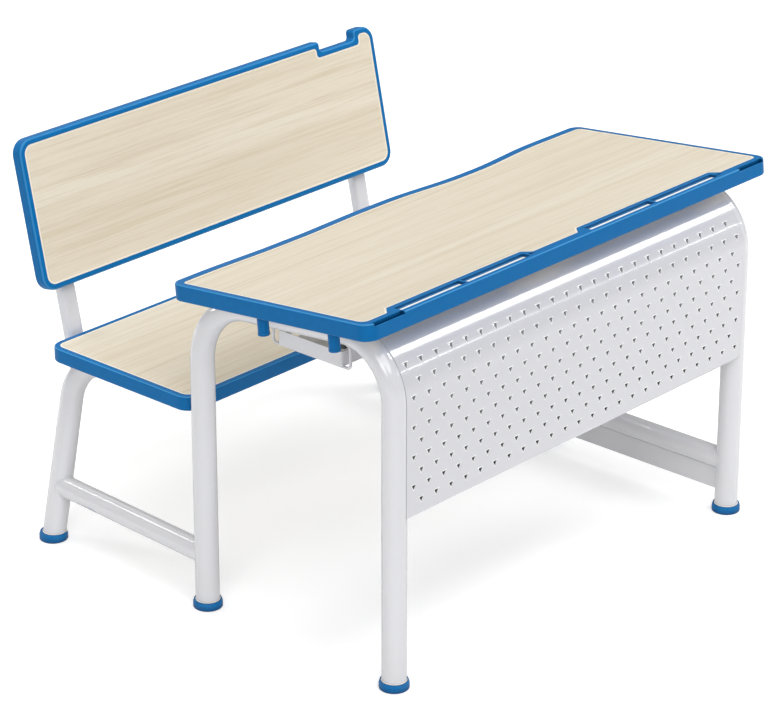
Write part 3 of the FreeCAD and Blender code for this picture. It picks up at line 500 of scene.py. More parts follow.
@dataclass(frozen=True)
class Coating(Finish):
    """A moulded, sprayed or plated finish."""

    color: str
    # Edge colour: partly wear, partly painted highlight; the painted highlight on rounded edges uses it too.
    wear_and_highlight_color: str
    shade: float
    scale: float
    gloss: Pair
    skin: float = 0.1
    skin_depth: float = 0.0001
    # Share and width of the edges lightened as wear and as painted highlight.
    wear_and_highlight: float = 0.4
    wear_and_highlight_width: float = 0.0012
    metallic: float = 0.0
    coat: float = 0.0
    specular: float = 0.5
    dust: float = 0.0
    dust_color: str = "B9B3A8"
    dust_height: float = 0.14
    # Painted shade: colour, share and reach of the darkening in slots, corners and under other pieces.
    painted_shade: str = "000000"
    painted_shade_amount: float = 0.0
    painted_shade_reach: float = 0.02
    # Painted highlight: share and direction of the lightened rounded edges.
    crest_highlight: float = 0.0
    crest_highlight_side: Triple = (0.0, 0.0, 1.0)
    # Painted light: a colour that grows in with height, lighter higher up.
    painted_light: float = 0.0
    painted_light_color: str = "FFFFFF"
    painted_light_heights: Pair = GROWING
    glow: float = 0.0

    def shader(self, graph: Graph) -> ShaderNode:
        """Lay the worn edges with their painted highlight, and the other layers, over the mottled surface.

        Args:
            graph: The material's tree.

        Returns:
            The shader's node.
        """
        mottle = self.mottle(graph, self.color, self.shade, self.scale, self.gloss)
        # Edges lightened in the edge colour: partly wear, partly painted highlight.
        edges = EdgeWearAndHighlight().place(graph, {"Width": self.wear_and_highlight_width, "Amount": self.wear_and_highlight})
        color = graph.blend(edges.outputs["Mask"], mottle.outputs["Color"], linear(self.wear_and_highlight_color))
        for mask, tone in self.layers(graph):
            color = graph.blend(mask, color, linear(tone))
        inputs = {"Height": mottle.outputs["Height"], "Strength": self.skin, "Distance": self.skin_depth}
        inputs["Normal"] = edges.outputs["Normal"]
        bump = graph.add("ShaderNodeBump", inputs)
        shader = graph.add("ShaderNodeBsdfPrincipled", {
            "Base Color": color, "Normal": bump.outputs["Normal"], "Roughness": mottle.outputs["Roughness"],
            "Metallic": self.metallic, "Coat Weight": self.coat, "Specular IOR Level": self.specular,
        })
        if self.glow:
            seen = graph.add("ShaderNodeLightPath").outputs["Is Camera Ray"]
            graph.feed(shader.inputs["Emission Color"], mottle.outputs["Color"])
            graph.feed(shader.inputs["Emission Strength"], graph.times(seen, self.glow))
        return shader

    def layers(self, graph: Graph) -> list[tuple[Socket, str]]:
        """Build the masks of the painted light, painted highlight, painted shade and dust over the surface.

        Args:
            graph: The material's tree.

        Returns:
            A mask and a colour code for each layer, the lowest first.
        """
        found = []
        # Painted light, growing in with height.
        if self.painted_light:
            height = graph.upright(graph.spot())
            found.append((graph.spread(height, self.painted_light_heights, (0.0, self.painted_light)), self.painted_light_color))
        # Painted highlight on the rounded edges, in the edge colour.
        if self.crest_highlight:
            line = PaintedCrestHighlight().place(graph, {"Outward": self.crest_highlight_side, "Amount": self.crest_highlight})
            found.append((line.outputs["Mask"], self.wear_and_highlight_color))
        # Painted shade in slots, corners and under other pieces.
        if self.painted_shade_amount:
            shade = CavityShade().place(graph, {"Reach": self.painted_shade_reach, "Amount": self.painted_shade_amount})
            found.append((shade.outputs["Mask"], self.painted_shade))
        if self.dust:
            dust = FloorDust().place(graph, {"Height": self.dust_height, "Amount": self.dust})
            found.append((dust.outputs["Mask"], self.dust_color))
        return found


@dataclass(frozen=True)
class Laminate(Finish):
    """Pale wood laminate with a plain backing sheet on its underside."""

    name: str = "maple_laminate"
    light: str = "EBE2D0"
    middle: str = "E2D7C1"
    dark: str = "CCBA9A"
    grain: float = 0.06
    grain_depth: float = 0.0002
    coat: float = 0.12
    coat_roughness: float = 0.3
    backing: str = "D9D4C9"
    backing_shade: float = 0.04
    backing_scale: float = 22.0
    backing_gloss: Pair = (0.5, 0.6)
    underside: Pair = (-0.6, -0.7)

    def shader(self, graph: Graph) -> ShaderNode:
        """Lay the wood figure on all sides but the lower one.

        Args:
            graph: The material's tree.

        Returns:
            The shader's node.
        """
        colors = {"Light": linear(self.light), "Middle": linear(self.middle), "Dark": linear(self.dark)}
        figure = LaminateGrain().place(graph, colors)
        backing = self.mottle(graph, self.backing, self.backing_shade, self.backing_scale, self.backing_gloss)
        upward = graph.upright(graph.add("ShaderNodeNewGeometry").outputs["True Normal"])
        below = graph.spread(upward, self.underside, GROWING)
        color = graph.blend(below, figure.outputs["Color"], backing.outputs["Color"])
        inputs = {"Height": figure.outputs["Height"], "Strength": self.grain, "Distance": self.grain_depth}
        bump = graph.add("ShaderNodeBump", inputs)
        return graph.add("ShaderNodeBsdfPrincipled", {
            "Base Color": color, "Normal": bump.outputs["Normal"], "Roughness": figure.outputs["Roughness"],
            "Coat Weight": self.coat, "Coat Roughness": self.coat_roughness,
        })


class Finishes:
    """All the finishes of the desk, made once."""

    def __init__(self, backrest_front: Vector) -> None:
        """Make the material of each slot, and those of the thin trim.

        Args:
            backrest_front: The direction that the backrest's front faces.
        """
        # The edging carries painted shade in its slots and corners and a painted highlight on its edges.
        edging = Coating(
            "blue_edging_plastic", color="036DAE", wear_and_highlight_color="62B0E6", shade=0.04, scale=60.0,
            gloss=(0.36, 0.44), skin_depth=0.0002, wear_and_highlight=0.5, wear_and_highlight_width=0.0016, specular=0.12, coat=0.05,
            dust=0.05, painted_shade="06335F", painted_shade_amount=0.9, painted_shade_reach=0.022, crest_highlight=0.45,
        )
        # The backrest's copy differs only in the share and direction of its painted edge highlight.
        reclined = replace(
            edging, name="blue_backrest_plastic", crest_highlight=0.3, crest_highlight_side=tuple(backrest_front)
        )
        # The paint carries painted shade at joints and under other pieces.
        paint = Coating(
            "white_powder_coat", color="E5E5E9", wear_and_highlight_color="F6F6F8", shade=0.005, scale=70.0,
            gloss=(0.15, 0.18), skin=0.03, wear_and_highlight=0.35, coat=0.9, specular=0.9, dust=0.12,
            painted_shade="8A8B90", painted_shade_amount=0.3, painted_shade_reach=0.015,
        )
        # The panel gets a darker copy of the tube paint.
        sheet = replace(paint, name="white_sheet_coat", color="DCDCE1")
        zinc = Coating(
            "zinc_plate", color="A9ABAD", wear_and_highlight_color="D5D6D8", shade=0.12, scale=180.0,
            gloss=(0.28, 0.45), metallic=1.0,
        )
        grey = Coating(
            "dark_grey_plastic", color="33363A", wear_and_highlight_color="6A6E73", shade=0.1, scale=70.0,
            gloss=(0.42, 0.55), skin=0.2, skin_depth=0.0002,
        )
        pale = Coating(
            "pale_groove_plastic", color="FFFFFC", wear_and_highlight_color="FFFFFF", shade=0.01, scale=60.0,
            gloss=(0.35, 0.45), skin_depth=0.0002,
        )
        seam = Coating(
            "cream_seam", color="FFF6E4", wear_and_highlight_color="FFFAF0", shade=0.02, scale=90.0, gloss=(0.4, 0.5)
        )
        # Throats of uncoated steel, painted dark as the shade inside the holes, with painted light lighter
        # higher up.
        bare_and_painted_shading = Coating(
            "hole_throat_painted_shade", color="2A2C30", wear_and_highlight_color="55585C", shade=0.15, scale=400.0,
            gloss=(0.45, 0.6), metallic=0.2, painted_light=0.9, painted_light_color="AEB0B5", painted_light_heights=(0.36, 0.56),
        )
        # Rim paint a purer white than the sheet: a painted highlight round each hole.
        rim = Coating(
            "rim_paint_painted_highlight", color="FFFFFF", wear_and_highlight_color="FFFFFF", shade=0.002, scale=90.0,
            gloss=(0.15, 0.2), skin=0.03, coat=0.5,
        )
        floor = Coating(
            "studio_floor", color="F6F6F6", wear_and_highlight_color="F6F6F6", shade=0.004, scale=2.0,
            gloss=(0.65, 0.75), skin=0.02, skin_depth=0.0002, glow=0.42,
        )
        slots = {
            Slot.LAMINATE: Laminate(), Slot.BLUE: edging, Slot.WHITE: paint,
            Slot.ZINC: zinc, Slot.GREY: grey, Slot.PALE: pale,
        }
        self.by_slot = {slot: finish.build() for slot, finish in slots.items()}
        self.by_node = {"backrest_edge": reclined.build(), "modesty_panel": sheet.build()}
        self.seam = seam.build()
        # Dark throats with painted shade, and hole rims with a painted highlight.
        self.bare_and_painted_shading = bare_and_painted_shading.build()
        self.rim = rim.build()
        self.floor = floor.build()


class Shapes:
    """Reads the meshes of the nodes and makes those of the added pieces."""

    @staticmethod
    def piece(
        name: str, mesh: bpy.types.Mesh, material: bpy.types.Material, slot: Slot, smooth: bool = True
    ) -> bpy.types.Object:
        """Turn a mesh into a piece that rides on the desk.

        Args:
            name: Name of the piece.
            mesh: Its mesh, in the frame of the desk.
            material: Its finish.
            slot: The record's slot that the finish comes from; not used.
            smooth: Whether its faces are shaded smooth.

        Returns:
            The new object.
        """
        mesh.materials.append(material)
        mesh.polygons.foreach_set("use_smooth", [smooth] * len(mesh.polygons))
        made = bpy.data.objects.new(name, mesh)
        bpy.context.scene.collection.objects.link(made)
        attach(made, BODY)
        LOG.info("%s: %d faces", name, len(mesh.polygons))
        return made

    @staticmethod
    def welded(mesh: bpy.types.Mesh) -> bmesh.types.BMesh:
        """Take a working copy of a mesh, with its doubled points joined.

        Args:
            mesh: The mesh, which stays as it is.

        Returns:
            The working copy.
        """
        shape = bmesh.new()
        shape.from_mesh(mesh)
        bmesh.ops.remove_doubles(shape, verts=shape.verts[:], dist=WELD_GAP)
        shape.normal_update()
        return shape

    @staticmethod
    def groups(items: Sequence, linked: Callable[[object], Iterable]) -> list[list]:
        """Split points or faces into those that hang together.

        Args:
            items: Points or faces of a mesh.
            linked: Gives the neighbours of one of them.

        Returns:
            The members of each group.
        """
        left = set(items)
        found = []
        for first in items:
            if first not in left:
                continue
            left.discard(first)
            queue = [first]
            group = []
            while queue:
                item = queue.pop()
                group.append(item)
                for other in linked(item):
                    if other in left:
                        left.discard(other)
                        queue.append(other)
            found.append(group)
        return found

    @staticmethod
    def islands(mesh: bpy.types.Mesh) -> list[Ring]:
        """Split a mesh into the points of its separate solids.

        Args:
            mesh: Mesh of a node with several solids.

        Returns:
            The points of each solid.
        """
        shape = Shapes.welded(mesh)
        groups = Shapes.groups(
            shape.verts[:], lambda vert: [edge.other_vert(vert) for edge in vert.link_edges]
        )
        found = [[vert.co.copy() for vert in group] for group in groups]
        shape.free()
        return found

    @staticmethod
    def bridged(
        name: str, loops: Sequence[Sequence[Ring]], closed: bool, capped: bool = False
    ) -> bpy.types.Mesh:
        """Join rings of points into skins.

        Args:
            name: Name of the mesh.
            loops: For each skin, its rings in order, all with the same count.
            closed: Whether each skin's last ring joins its first.
            capped: Whether the first and last ring are filled.

        Returns:
            The mesh.
        """
        points: list[Vector] = []
        faces: list[list[int]] = []
        for rings in loops:
            start = len(points)
            count = len(rings[0])
            for ring in rings:
                points.extend(ring)
            steps = len(rings) if closed else len(rings) - 1
            for i in range(steps):
                here = start + i * count
                there = start + (i + 1) % len(rings) * count
                for j in range(count):
                    k = (j + 1) % count
                    faces.append([here + j, here + k, there + k, there + j])
            if capped:
                faces.append([start + j for j in range(count)][::-1])
                faces.append([start + (len(rings) - 1) * count + j for j in range(count)])
        mesh = bpy.data.meshes.new(name)
        mesh.from_pydata([tuple(point) for point in points], [], faces)
        shape = bmesh.new()
        shape.from_mesh(mesh)
        bmesh.ops.recalc_face_normals(shape, faces=shape.faces[:])
        shape.to_mesh(mesh)
        shape.free()
        return mesh

    @staticmethod
    def bead(
        path: Sequence[Vector], radius: float, ripple: float = 0.0, wave: float = 4.0, corners: int = 8
    ) -> list[Ring]:
        """Give the rings of a bead that follows a closed path.

        Args:
            path: Points of the closed path.
            radius: The bead's radius.
            ripple: How much the radius swells and shrinks along the path.
            wave: How many points lie between one swelling and the next.
            corners: Points of each ring.

        Returns:
            One ring for each point of the path.
        """
        middle = sum(path, Vector()) / len(path)
        rings = []
        for i, point in enumerate(path):
            ahead = (path[(i + 1) % len(path)] - path[i - 1]).normalized()
            out = point - middle
            out = (out - ahead * out.dot(ahead)).normalized()
            side = ahead.cross(out)
            size = radius + ripple * math.sin(i * FULL_TURN / wave)
            rings.append([point + (out * math.cos(a) + side * math.sin(a)) * size for a in turns(corners)])
        return rings


@dataclass
class BoardSeam:
    """The thin pale line where a board meets its edging."""

    node: str
    outward: Vector
    width: float = 0.004
    rise: float = 0.0003
    flatness: float = 0.9995
    level: float = 0.0002

    def build(self, frame: dict, finishes: Finishes) -> bpy.types.Object:
        """Lay the line along the rim of the board's face.

        Args:
            frame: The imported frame.
            finishes: The finishes of the desk.

        Returns:
            The new piece.
        """
        shape = Shapes.welded(frame["nodes"][self.node].data)
        top = max(vert.co.dot(self.outward) for vert in shape.verts)
        others = [face for face in shape.faces if not self.on_face(face, top)]
        bmesh.ops.delete(shape, geom=others, context="FACES")
        inner = shape.faces[:]
        bmesh.ops.inset_region(
            shape, faces=inner, thickness=self.width, use_boundary=True, use_even_offset=True
        )
        bmesh.ops.delete(shape, geom=inner, context="FACES")
        raised = bmesh.ops.extrude_face_region(shape, geom=shape.faces[:], use_keep_orig=True)
        lifted = [item for item in raised["geom"] if isinstance(item, bmesh.types.BMVert)]
        bmesh.ops.translate(shape, verts=lifted, vec=self.outward * self.rise)
        bmesh.ops.recalc_face_normals(shape, faces=shape.faces[:])
        mesh = bpy.data.meshes.new(self.node + "_seam")
        shape.to_mesh(mesh)
        shape.free()
        return Shapes.piece(self.node + "_seam", mesh, finishes.seam, Slot.PALE, smooth=False)

    def on_face(self, face: bmesh.types.BMFace, top: float) -> bool:
        """Say whether a face lies on the board's outer side."""
        near = top - face.calc_center_median().dot(self.outward) < self.level
        return near and face.normal.dot(self.outward) > self.flatness


@dataclass
class GrooveLedge:
    """The low step along the rear wall of each pen groove."""

    node: str
    along: Vector
    outward: Vector
    width: float = 0.002
    height: float = 0.0018
    nose: float = 0.0007
    sunk: float = 0.0002

    def build(self, frame: dict, finishes: Finishes) -> bpy.types.Object:
        """Lay a step behind each strip in the grooves.

        Args:
            frame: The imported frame.
            finishes: The finishes of the desk.

        Returns:
            The steps, as one piece.
        """
        loops = [self.ends(points) for points in Shapes.islands(frame["nodes"][self.node].data)]
        mesh = Shapes.bridged("pen_groove_ledges", loops, closed=False, capped=True)
        return Shapes.piece("pen_groove_ledges", mesh, finishes.by_slot[Slot.BLUE], Slot.BLUE, smooth=False)

    def ends(self, points: Ring) -> list[Ring]:
        """Draw the section of one step at both ends of its strip.

        Args:
            points: The strip's points.

        Returns:
            The two end sections.
        """
        wall = max(point.dot(self.along) for point in points)
        floor = max(point.dot(self.outward) for point in points)
        front = wall - self.width
        top = floor + self.height
        section = (
            (front, floor - self.sunk), (front, top - self.nose), (front + self.nose, top),
            (wall + self.sunk, top), (wall + self.sunk, floor - self.sunk),
        )
        rings = []
        for x in (min(point.x for point in points), max(point.x for point in points)):
            start = Vector((x, 0.0, 0.0))
            rings.append([start + self.along * run + self.outward * rise for run, rise in section])
        return rings


@dataclass
class Fastener:
    """Screws or bolts of one group, with a domed head and a drive recess."""

    node: str
    headward: Vector
    head_radius: float
    head_height: float
    shank_radius: float
    drive_radius: float
    recess: float
    segments: int = 48
    tip_share: float = 0.4
    lip_share: float = 0.45
    dome_height_share: float = 0.8
    dome_radius_share: float = 0.88
    crown_share: float = 0.62
    pin_share: float = 0.05

    def build(self, frame: dict, finishes: Finishes) -> bpy.types.Object:
        """Turn each screw of the group where the plain one sits.

        Args:
            frame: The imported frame.
            finishes: The finishes of the desk.

        Returns:
            The new piece, which stands for the plain group.
        """
        skins = [self.turned(points) for points in Shapes.islands(frame["nodes"][self.node].data)]
        mesh = Shapes.bridged(self.node + "_turned", skins, closed=False, capped=True)
        made = Shapes.piece(self.node + "_turned", mesh, finishes.by_slot[Slot.ZINC], Slot.ZINC, smooth=False)
        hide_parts(self.node)
        return made

    def socket_radius(self, angle: float) -> float:
        """Give the drive recess's radius in one direction round the axis."""
        raise NotImplementedError

    def turned(self, points: Ring) -> list[Ring]:
        """Give the rings of one screw, from the tip of its shank to the floor of its recess.

        Args:
            points: Points of the plain screw.

        Returns:
            The rings in order.
        """
        axis = self.headward
        reach = [point.dot(axis) for point in points]
        middle = sum(points, Vector()) / len(points)
        origin = middle - axis * middle.dot(axis)
        across = axis.orthogonal().normalized()
        beside = axis.cross(across)
        tip = min(reach)
        crown = max(reach)
        seat = crown - self.head_height
        profile: list[tuple[float, float | None]] = [
            (tip, self.shank_radius * self.tip_share), (tip + self.shank_radius, self.shank_radius),
            (seat, self.shank_radius), (seat, self.head_radius),
            (seat + self.head_height * self.lip_share, self.head_radius),
            (seat + self.head_height * self.dome_height_share, self.head_radius * self.dome_radius_share),
            (crown, self.head_radius * self.crown_share), (crown, None),
            (crown - self.recess, None), (crown - self.recess, self.drive_radius * self.pin_share),
        ]
        rings = []
        for height, radius in profile:
            ring = []
            for angle in turns(self.segments):
                size = self.socket_radius(angle) if radius is None else radius
                turn = across * math.cos(angle) + beside * math.sin(angle)
                ring.append(origin + axis * height + turn * size)
            rings.append(ring)
        return rings


@dataclass
class Screw(Fastener):
    """Wood screws with a cross recess."""

    head_radius: float = 0.00475
    head_height: float = 0.0026
    shank_radius: float = 0.00225
    drive_radius: float = 0.0026
    recess: float = 0.0016
    waist: float = 0.0009
    lobes: int = 4
    lobe_power: int = 3

    def socket_radius(self, angle: float) -> float:
        """Give the cross's radius in one direction."""
        lobe = max(0.0, math.cos(self.lobes * angle)) ** self.lobe_power
        return self.waist + (self.drive_radius - self.waist) * lobe


@dataclass
class Bolt(Fastener):
    """Bolts with a six-sided recess."""

    head_radius: float = 0.0065
    head_height: float = 0.004
    shank_radius: float = 0.003
    drive_radius: float = 0.0029
    recess: float = 0.0025
    sides: int = 6

    def socket_radius(self, angle: float) -> float:
        """Give the six-sided recess's radius in one direction."""
        part = FULL_TURN / self.sides
        return self.drive_radius * math.cos(part / 2.0) / math.cos(angle % part - part / 2.0)


@dataclass
class TubeJoint:
    """The weld round the end of one tube, on the skin of the post that it meets."""

    name: str
    start: Vector
    heading: Vector
    tube_radius: float
    post_heading: Vector
    post_radius: float
    bead_radius: float = 0.0017
    ripple: float = 0.00025
    steps: int = 96

    def build(self, finishes: Finishes) -> bpy.types.Object:
        """Run a rippled bead round the joint.

        Args:
            finishes: The finishes of the desk.

        Returns:
            The new piece.
        """
        rings = Shapes.bead(self.path(), self.bead_radius, self.ripple)
        mesh = Shapes.bridged(self.name, [rings], closed=True)
        return Shapes.piece(self.name, mesh, finishes.by_slot[Slot.WHITE], Slot.WHITE)

    def path(self) -> Ring:
        """Find where the tube's skin meets the post's.

        Returns:
            Points of the closed curve, on the side that the tube comes from.
        """
        side = self.heading.cross(UP).normalized()
        above = side.cross(self.heading)
        along = self.heading - self.post_heading * self.heading.dot(self.post_heading)
        a = along.dot(along)
        curve = []
        for angle in turns(self.steps):
            skin = self.start + (side * math.cos(angle) + above * math.sin(angle)) * self.tube_radius
            away = skin - self.start
            away = away - self.post_heading * away.dot(self.post_heading)
            b = 2.0 * away.dot(along)
            c = away.dot(away) - self.post_radius ** 2
            root = math.sqrt(max(b * b - 4.0 * a * c, 0.0))
            curve.append(skin + self.heading * ((root - b) / (2.0 * a)))
        return curve


@dataclass
class PunchedHoles:
    """The collars, dark throats and rims of the holes in a sheet; the throats carry painted shade and the rims
    a painted highlight.
    """

    node: str
    sheet: float = 0.0012
    collar: float = 0.0045
    wall: float = 0.001
    skin: float = 0.0002
    taper: float = 0.0005
    lip: float = 0.0003
    lip_width: float = 0.0018
    lip_crown_share: float = 0.6
    smallest: float = 0.004
    largest: float = 0.016
    squareness: float = 1e-3
    level: float = 1e-5
    places: int = 5

    def build(self, frame: dict, finishes: Finishes) -> None:
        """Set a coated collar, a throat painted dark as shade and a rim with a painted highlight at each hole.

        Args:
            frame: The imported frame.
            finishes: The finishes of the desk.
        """
        holes = self.outlines(frame["nodes"][self.node].data)
        LOG.info("%s: %d holes", self.node, len(holes))
        collars = [self.rings(hole, 0.0, -self.wall) for hole in holes]
        throats = [self.rings(hole, self.skin, 0.0) for hole in holes]
        rims = [self.rim(hole) for hole in holes]
        kinds = (
            ("_hole_collars", collars, finishes.by_slot[Slot.WHITE], Slot.WHITE),
            # The throats carry painted shade; the rims carry a painted highlight.
            ("_hole_throats", throats, finishes.bare_and_painted_shading, Slot.ZINC),
            ("_hole_rims", rims, finishes.rim, Slot.WHITE),
        )
        for ending, loops, material, slot in kinds:
            mesh = Shapes.bridged(self.node + ending, loops, closed=True)
            Shapes.piece(self.node + ending, mesh, material, slot, smooth=False)

    def outlines(self, mesh: bpy.types.Mesh) -> list[Ring]:
        """Find the three front corners of each hole.

        Args:
            mesh: The sheet's mesh.

        Returns:
            The corners of each hole.
        """
        shape = Shapes.welded(mesh)
        walls = [face for face in shape.faces if abs(face.normal.y) < self.squareness]
        groups = Shapes.groups(
            walls, lambda face: [other for edge in face.edges for other in edge.link_faces]
        )
        found = []
        for group in groups:
            points = [vert.co.copy() for face in group for vert in face.verts]
            spans = [max(p[i] for p in points) - min(p[i] for p in points) for i in (0, 2)]
            if all(self.smallest < span < self.largest for span in spans):
                found.append(self.corners(points))
        shape.free()
        return found

    def corners(self, points: Ring) -> Ring:
        """Pick the lowest point and the two upper ends of a hole, on its front side.

        Args:
            points: Points of the hole's walls.

        Returns:
            The three corners.
        """
        top = max(point.z for point in points)
        upper = [point for point in points if top - point.z < self.level]
        low = min(points, key=lambda point: (round(point.z, self.places), point.y))
        right = min(upper, key=lambda point: (round(-point.x, self.places), point.y))
        left = min(upper, key=lambda point: (round(point.x, self.places), point.y))
        return [low, right, left]

    @staticmethod
    def shrunk(corners: Ring, inset: float, depth: float) -> Ring:
        """Draw a hole's corners inwards and set them back.

        Args:
            corners: The hole's corners.
            inset: How far each side moves in.
            depth: How far the corners move behind the sheet's front.

        Returns:
            The new corners.
        """
        sides = [(corners[i] - corners[i - 1]).length for i in range(3)]
        weights = [sides[(i + 2) % 3] for i in range(3)]
        heart = sum((corners[i] * weights[i] for i in range(3)), Vector()) / sum(sides)
        run = corners[1] - corners[0]
        reach = (heart - corners[0]).cross(run).length / run.length
        share = 1.0 - inset / reach
        back = Vector((0.0, depth, 0.0))
        return [heart + (corner - heart) * share + back for corner in corners]

    def rings(self, corners: Ring, inner: float, outer: float) -> list[Ring]:
        """Give the four rings of one collar.

        Args:
            corners: The hole's corners.
            inner: How far its inner skin lies inside the hole's edge.
            outer: How far its outer skin lies inside the hole's edge.

        Returns:
            The rings in order.
        """
        end = self.sheet + self.collar
        return [
            self.shrunk(corners, inner, self.sheet), self.shrunk(corners, self.taper + inner, end),
            self.shrunk(corners, self.taper + outer, end), self.shrunk(corners, outer, self.sheet),
        ]

    def rim(self, corners: Ring) -> list[Ring]:
        """Give the five rings of the paint rim round one hole.

        Args:
            corners: The hole's corners.

        Returns:
            The rings, from the hole's side outwards and back behind the front.
        """
        steps = (
            (0.0, self.lip), (self.lip_width * self.lip_crown_share, self.lip),
            (self.lip_width, 0.0), (self.lip_width, -self.lip), (0.0, -self.lip),
        )
        return [self.shrunk(corners, -outset, -rise) for outset, rise in steps]


class SubAssembly:
    """A part of the desk: its nodes get their finishes and it may add pieces."""

    nodes: tuple[str, ...] = ()

    def dress(self, frame: dict, finishes: Finishes) -> None:
        """Give each node its own finish, or else that of its slot.

        Args:
            frame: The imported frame.
            finishes: The finishes of the desk.
        """
        slots = {entry["node"]: Slot(entry["material_slot"]) for entry in frame["record"]["subparts"]}
        for name in self.nodes:
            node = frame["nodes"][name]
            node.data.materials.clear()
            node.data.materials.append(finishes.by_node.get(name, finishes.by_slot[slots[name]]))
            LOG.info("%s: %s", name, slots[name].value)

    def build(self, frame: dict, finishes: Finishes) -> None:
        """Add the pieces that the nodes lack."""


@dataclass
class DeskTop(SubAssembly):
    """The sloping board with its edging, pen grooves and bag pegs."""

    slope: float = math.radians(6.0)
    nodes = ("desk_top_board", "desk_top_edge", "pen_groove_liners", "left_bag_pegs", "right_bag_pegs")

    @property
    def along(self) -> Vector:
        """The way down the slope, towards the pupils."""
        return Vector((0.0, math.cos(self.slope), -math.sin(self.slope)))

    @property
    def outward(self) -> Vector:
        """The way square to the board, upwards."""
        return Vector((0.0, math.sin(self.slope), math.cos(self.slope)))

    def build(self, frame: dict, finishes: Finishes) -> None:
        """Add the seam round the board and the steps in the grooves."""
        BoardSeam("desk_top_board", self.outward).build(frame, finishes)
        GrooveLedge("pen_groove_liners", self.along, self.outward).build(frame, finishes)


@dataclass
class Bench(SubAssembly):
    """The seat, the backrest and the frames that carry them."""

    recline: float = math.radians(12.0)
    nodes = (
        "seat_board", "seat_edge", "backrest_board", "backrest_edge", "left_bench_frame", "right_bench_frame",
        "left_rail_plug", "right_rail_plug", "left_backrest_post", "right_backrest_post", "post_caps",
        "left_seat_lugs", "right_seat_lugs", "left_bench_foot", "right_bench_foot",
    )

    @property
    def front(self) -> Vector:
        """The way square to the backrest, towards the desk."""
        return Vector((0.0, -math.cos(self.recline), math.sin(self.recline)))

    def build(self, frame: dict, finishes: Finishes) -> None:
        """Add the seams round the two boards."""
        BoardSeam("seat_board", UP).build(frame, finishes)
        BoardSeam("backrest_board", self.front).build(frame, finishes)


@dataclass
class DeskFrame(SubAssembly):
    """The bent side frames with the panel, the low bars and the feet."""

    splay: float = math.radians(12.4)
    ring_radius: float = 0.0011
    ring_steps: int = 64
    hem_radius: float = 0.0013
    hem_corners: int = 16
    nodes = (
        "left_desk_frame", "right_desk_frame", "modesty_panel", "left_top_lugs", "right_top_lugs",
        "left_stretcher", "right_stretcher", "right_foot_bar", "right_kick_strip", "left_front_foot",
        "left_rear_foot", "right_front_foot", "right_rear_foot",
    )

    def build(self, frame: dict, finishes: Finishes) -> None:
        """Add the panel's hole trim and hem, the welds of the low bars and the rings on the feet.

        Args:
            frame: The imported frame.
            finishes: The finishes of the desk.
        """
        PunchedHoles("modesty_panel").build(frame, finishes)
        self.hem_panel(finishes)
        for side in Side:
            self.weld_side(side, finishes)
            for place in ("front_foot", "rear_foot"):
                self.ring_foot(side.word + "_" + place, 0.0, finishes)
            self.ring_foot(side.word + "_bench_foot", -self.splay * side.value, finishes)

    @staticmethod
    def middle(node: str) -> Vector:
        """Give the middle of a node's box."""
        low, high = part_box(node)
        return (Vector(low) + Vector(high)) / 2.0

    def tube_radius(self) -> float:
        """Give the radius of the frame's round tube."""
        low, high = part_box("left_desk_frame")
        return (high[0] - low[0]) / 2.0

    def weld_side(self, side: Side, finishes: Finishes) -> None:
        """Weld the bars of one side.

        Args:
            side: The side.
            finishes: The finishes of the desk.
        """
        radius = self.tube_radius()
        low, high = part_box(side.word + "_stretcher")
        height = (low[2] + high[2]) / 2.0
        bar_radius = (high[2] - low[2]) / 2.0
        rear = self.middle(side.word + "_rear_foot")
        bench = self.middle(side.word + "_bench_foot")
        lean = Vector((-math.sin(self.splay) * side.value, 0.0, math.cos(self.splay)))
        near = Vector((rear.x, rear.y, height))
        base = Vector((bench.x, bench.y, 0.0))
        far = base + lean * (height / lean.z)
        heading = (far - near).normalized()
        name = side.word + "_stretcher_weld"
        TubeJoint(name + "_desk", near, heading, bar_radius, UP, radius).build(finishes)
        TubeJoint(name + "_bench", far, -heading, bar_radius, lean, radius).build(finishes)
        if side is Side.RIGHT:
            front = self.middle("right_front_foot")
            ahead = Vector((front.x, front.y, height))
            along = (near - ahead).normalized()
            TubeJoint("right_foot_bar_weld_front", ahead, along, bar_radius, UP, radius).build(finishes)
            TubeJoint("right_foot_bar_weld_rear", near, -along, bar_radius, UP, radius).build(finishes)

    def hem_panel(self, finishes: Finishes) -> None:
        """Round the lower edge of the panel.

        Args:
            finishes: The finishes of the desk.
        """
        low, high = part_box("modesty_panel")
        line = Vector((0.0, low[1] + PunchedHoles.sheet / 2.0, low[2]))
        spokes = [Vector((0.0, math.cos(a), math.sin(a))) * self.hem_radius for a in turns(self.hem_corners)]
        rings = []
        for x in (low[0], high[0]):
            middle = line + Vector((x, 0.0, 0.0))
            rings.append([middle + spoke for spoke in spokes])
        mesh = Shapes.bridged("modesty_panel_hem", [rings], closed=False, capped=True)
        Shapes.piece("modesty_panel_hem", mesh, finishes.by_slot[Slot.WHITE], Slot.WHITE)

    def ring_foot(self, foot: str, lean: float, finishes: Finishes) -> None:
        """Lay a pale ring where a tube goes into its foot cap.

        Args:
            foot: The foot's node.
            lean: How far the tube leans about Y.
            finishes: The finishes of the desk.
        """
        low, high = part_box(foot)
        radius = self.tube_radius()
        shift = high[2] * math.tan(lean)
        middle = Vector(((low[0] + high[0]) / 2.0 + shift, (low[1] + high[1]) / 2.0, high[2]))
        wide = radius / math.cos(lean)
        path = []
        for angle in turns(self.ring_steps):
            path.append(middle + Vector((wide * math.cos(angle), radius * math.sin(angle), 0.0)))
        mesh = Shapes.bridged(foot + "_ring", [Shapes.bead(path, self.ring_radius)], closed=True)
        Shapes.piece(foot + "_ring", mesh, finishes.seam, Slot.PALE)


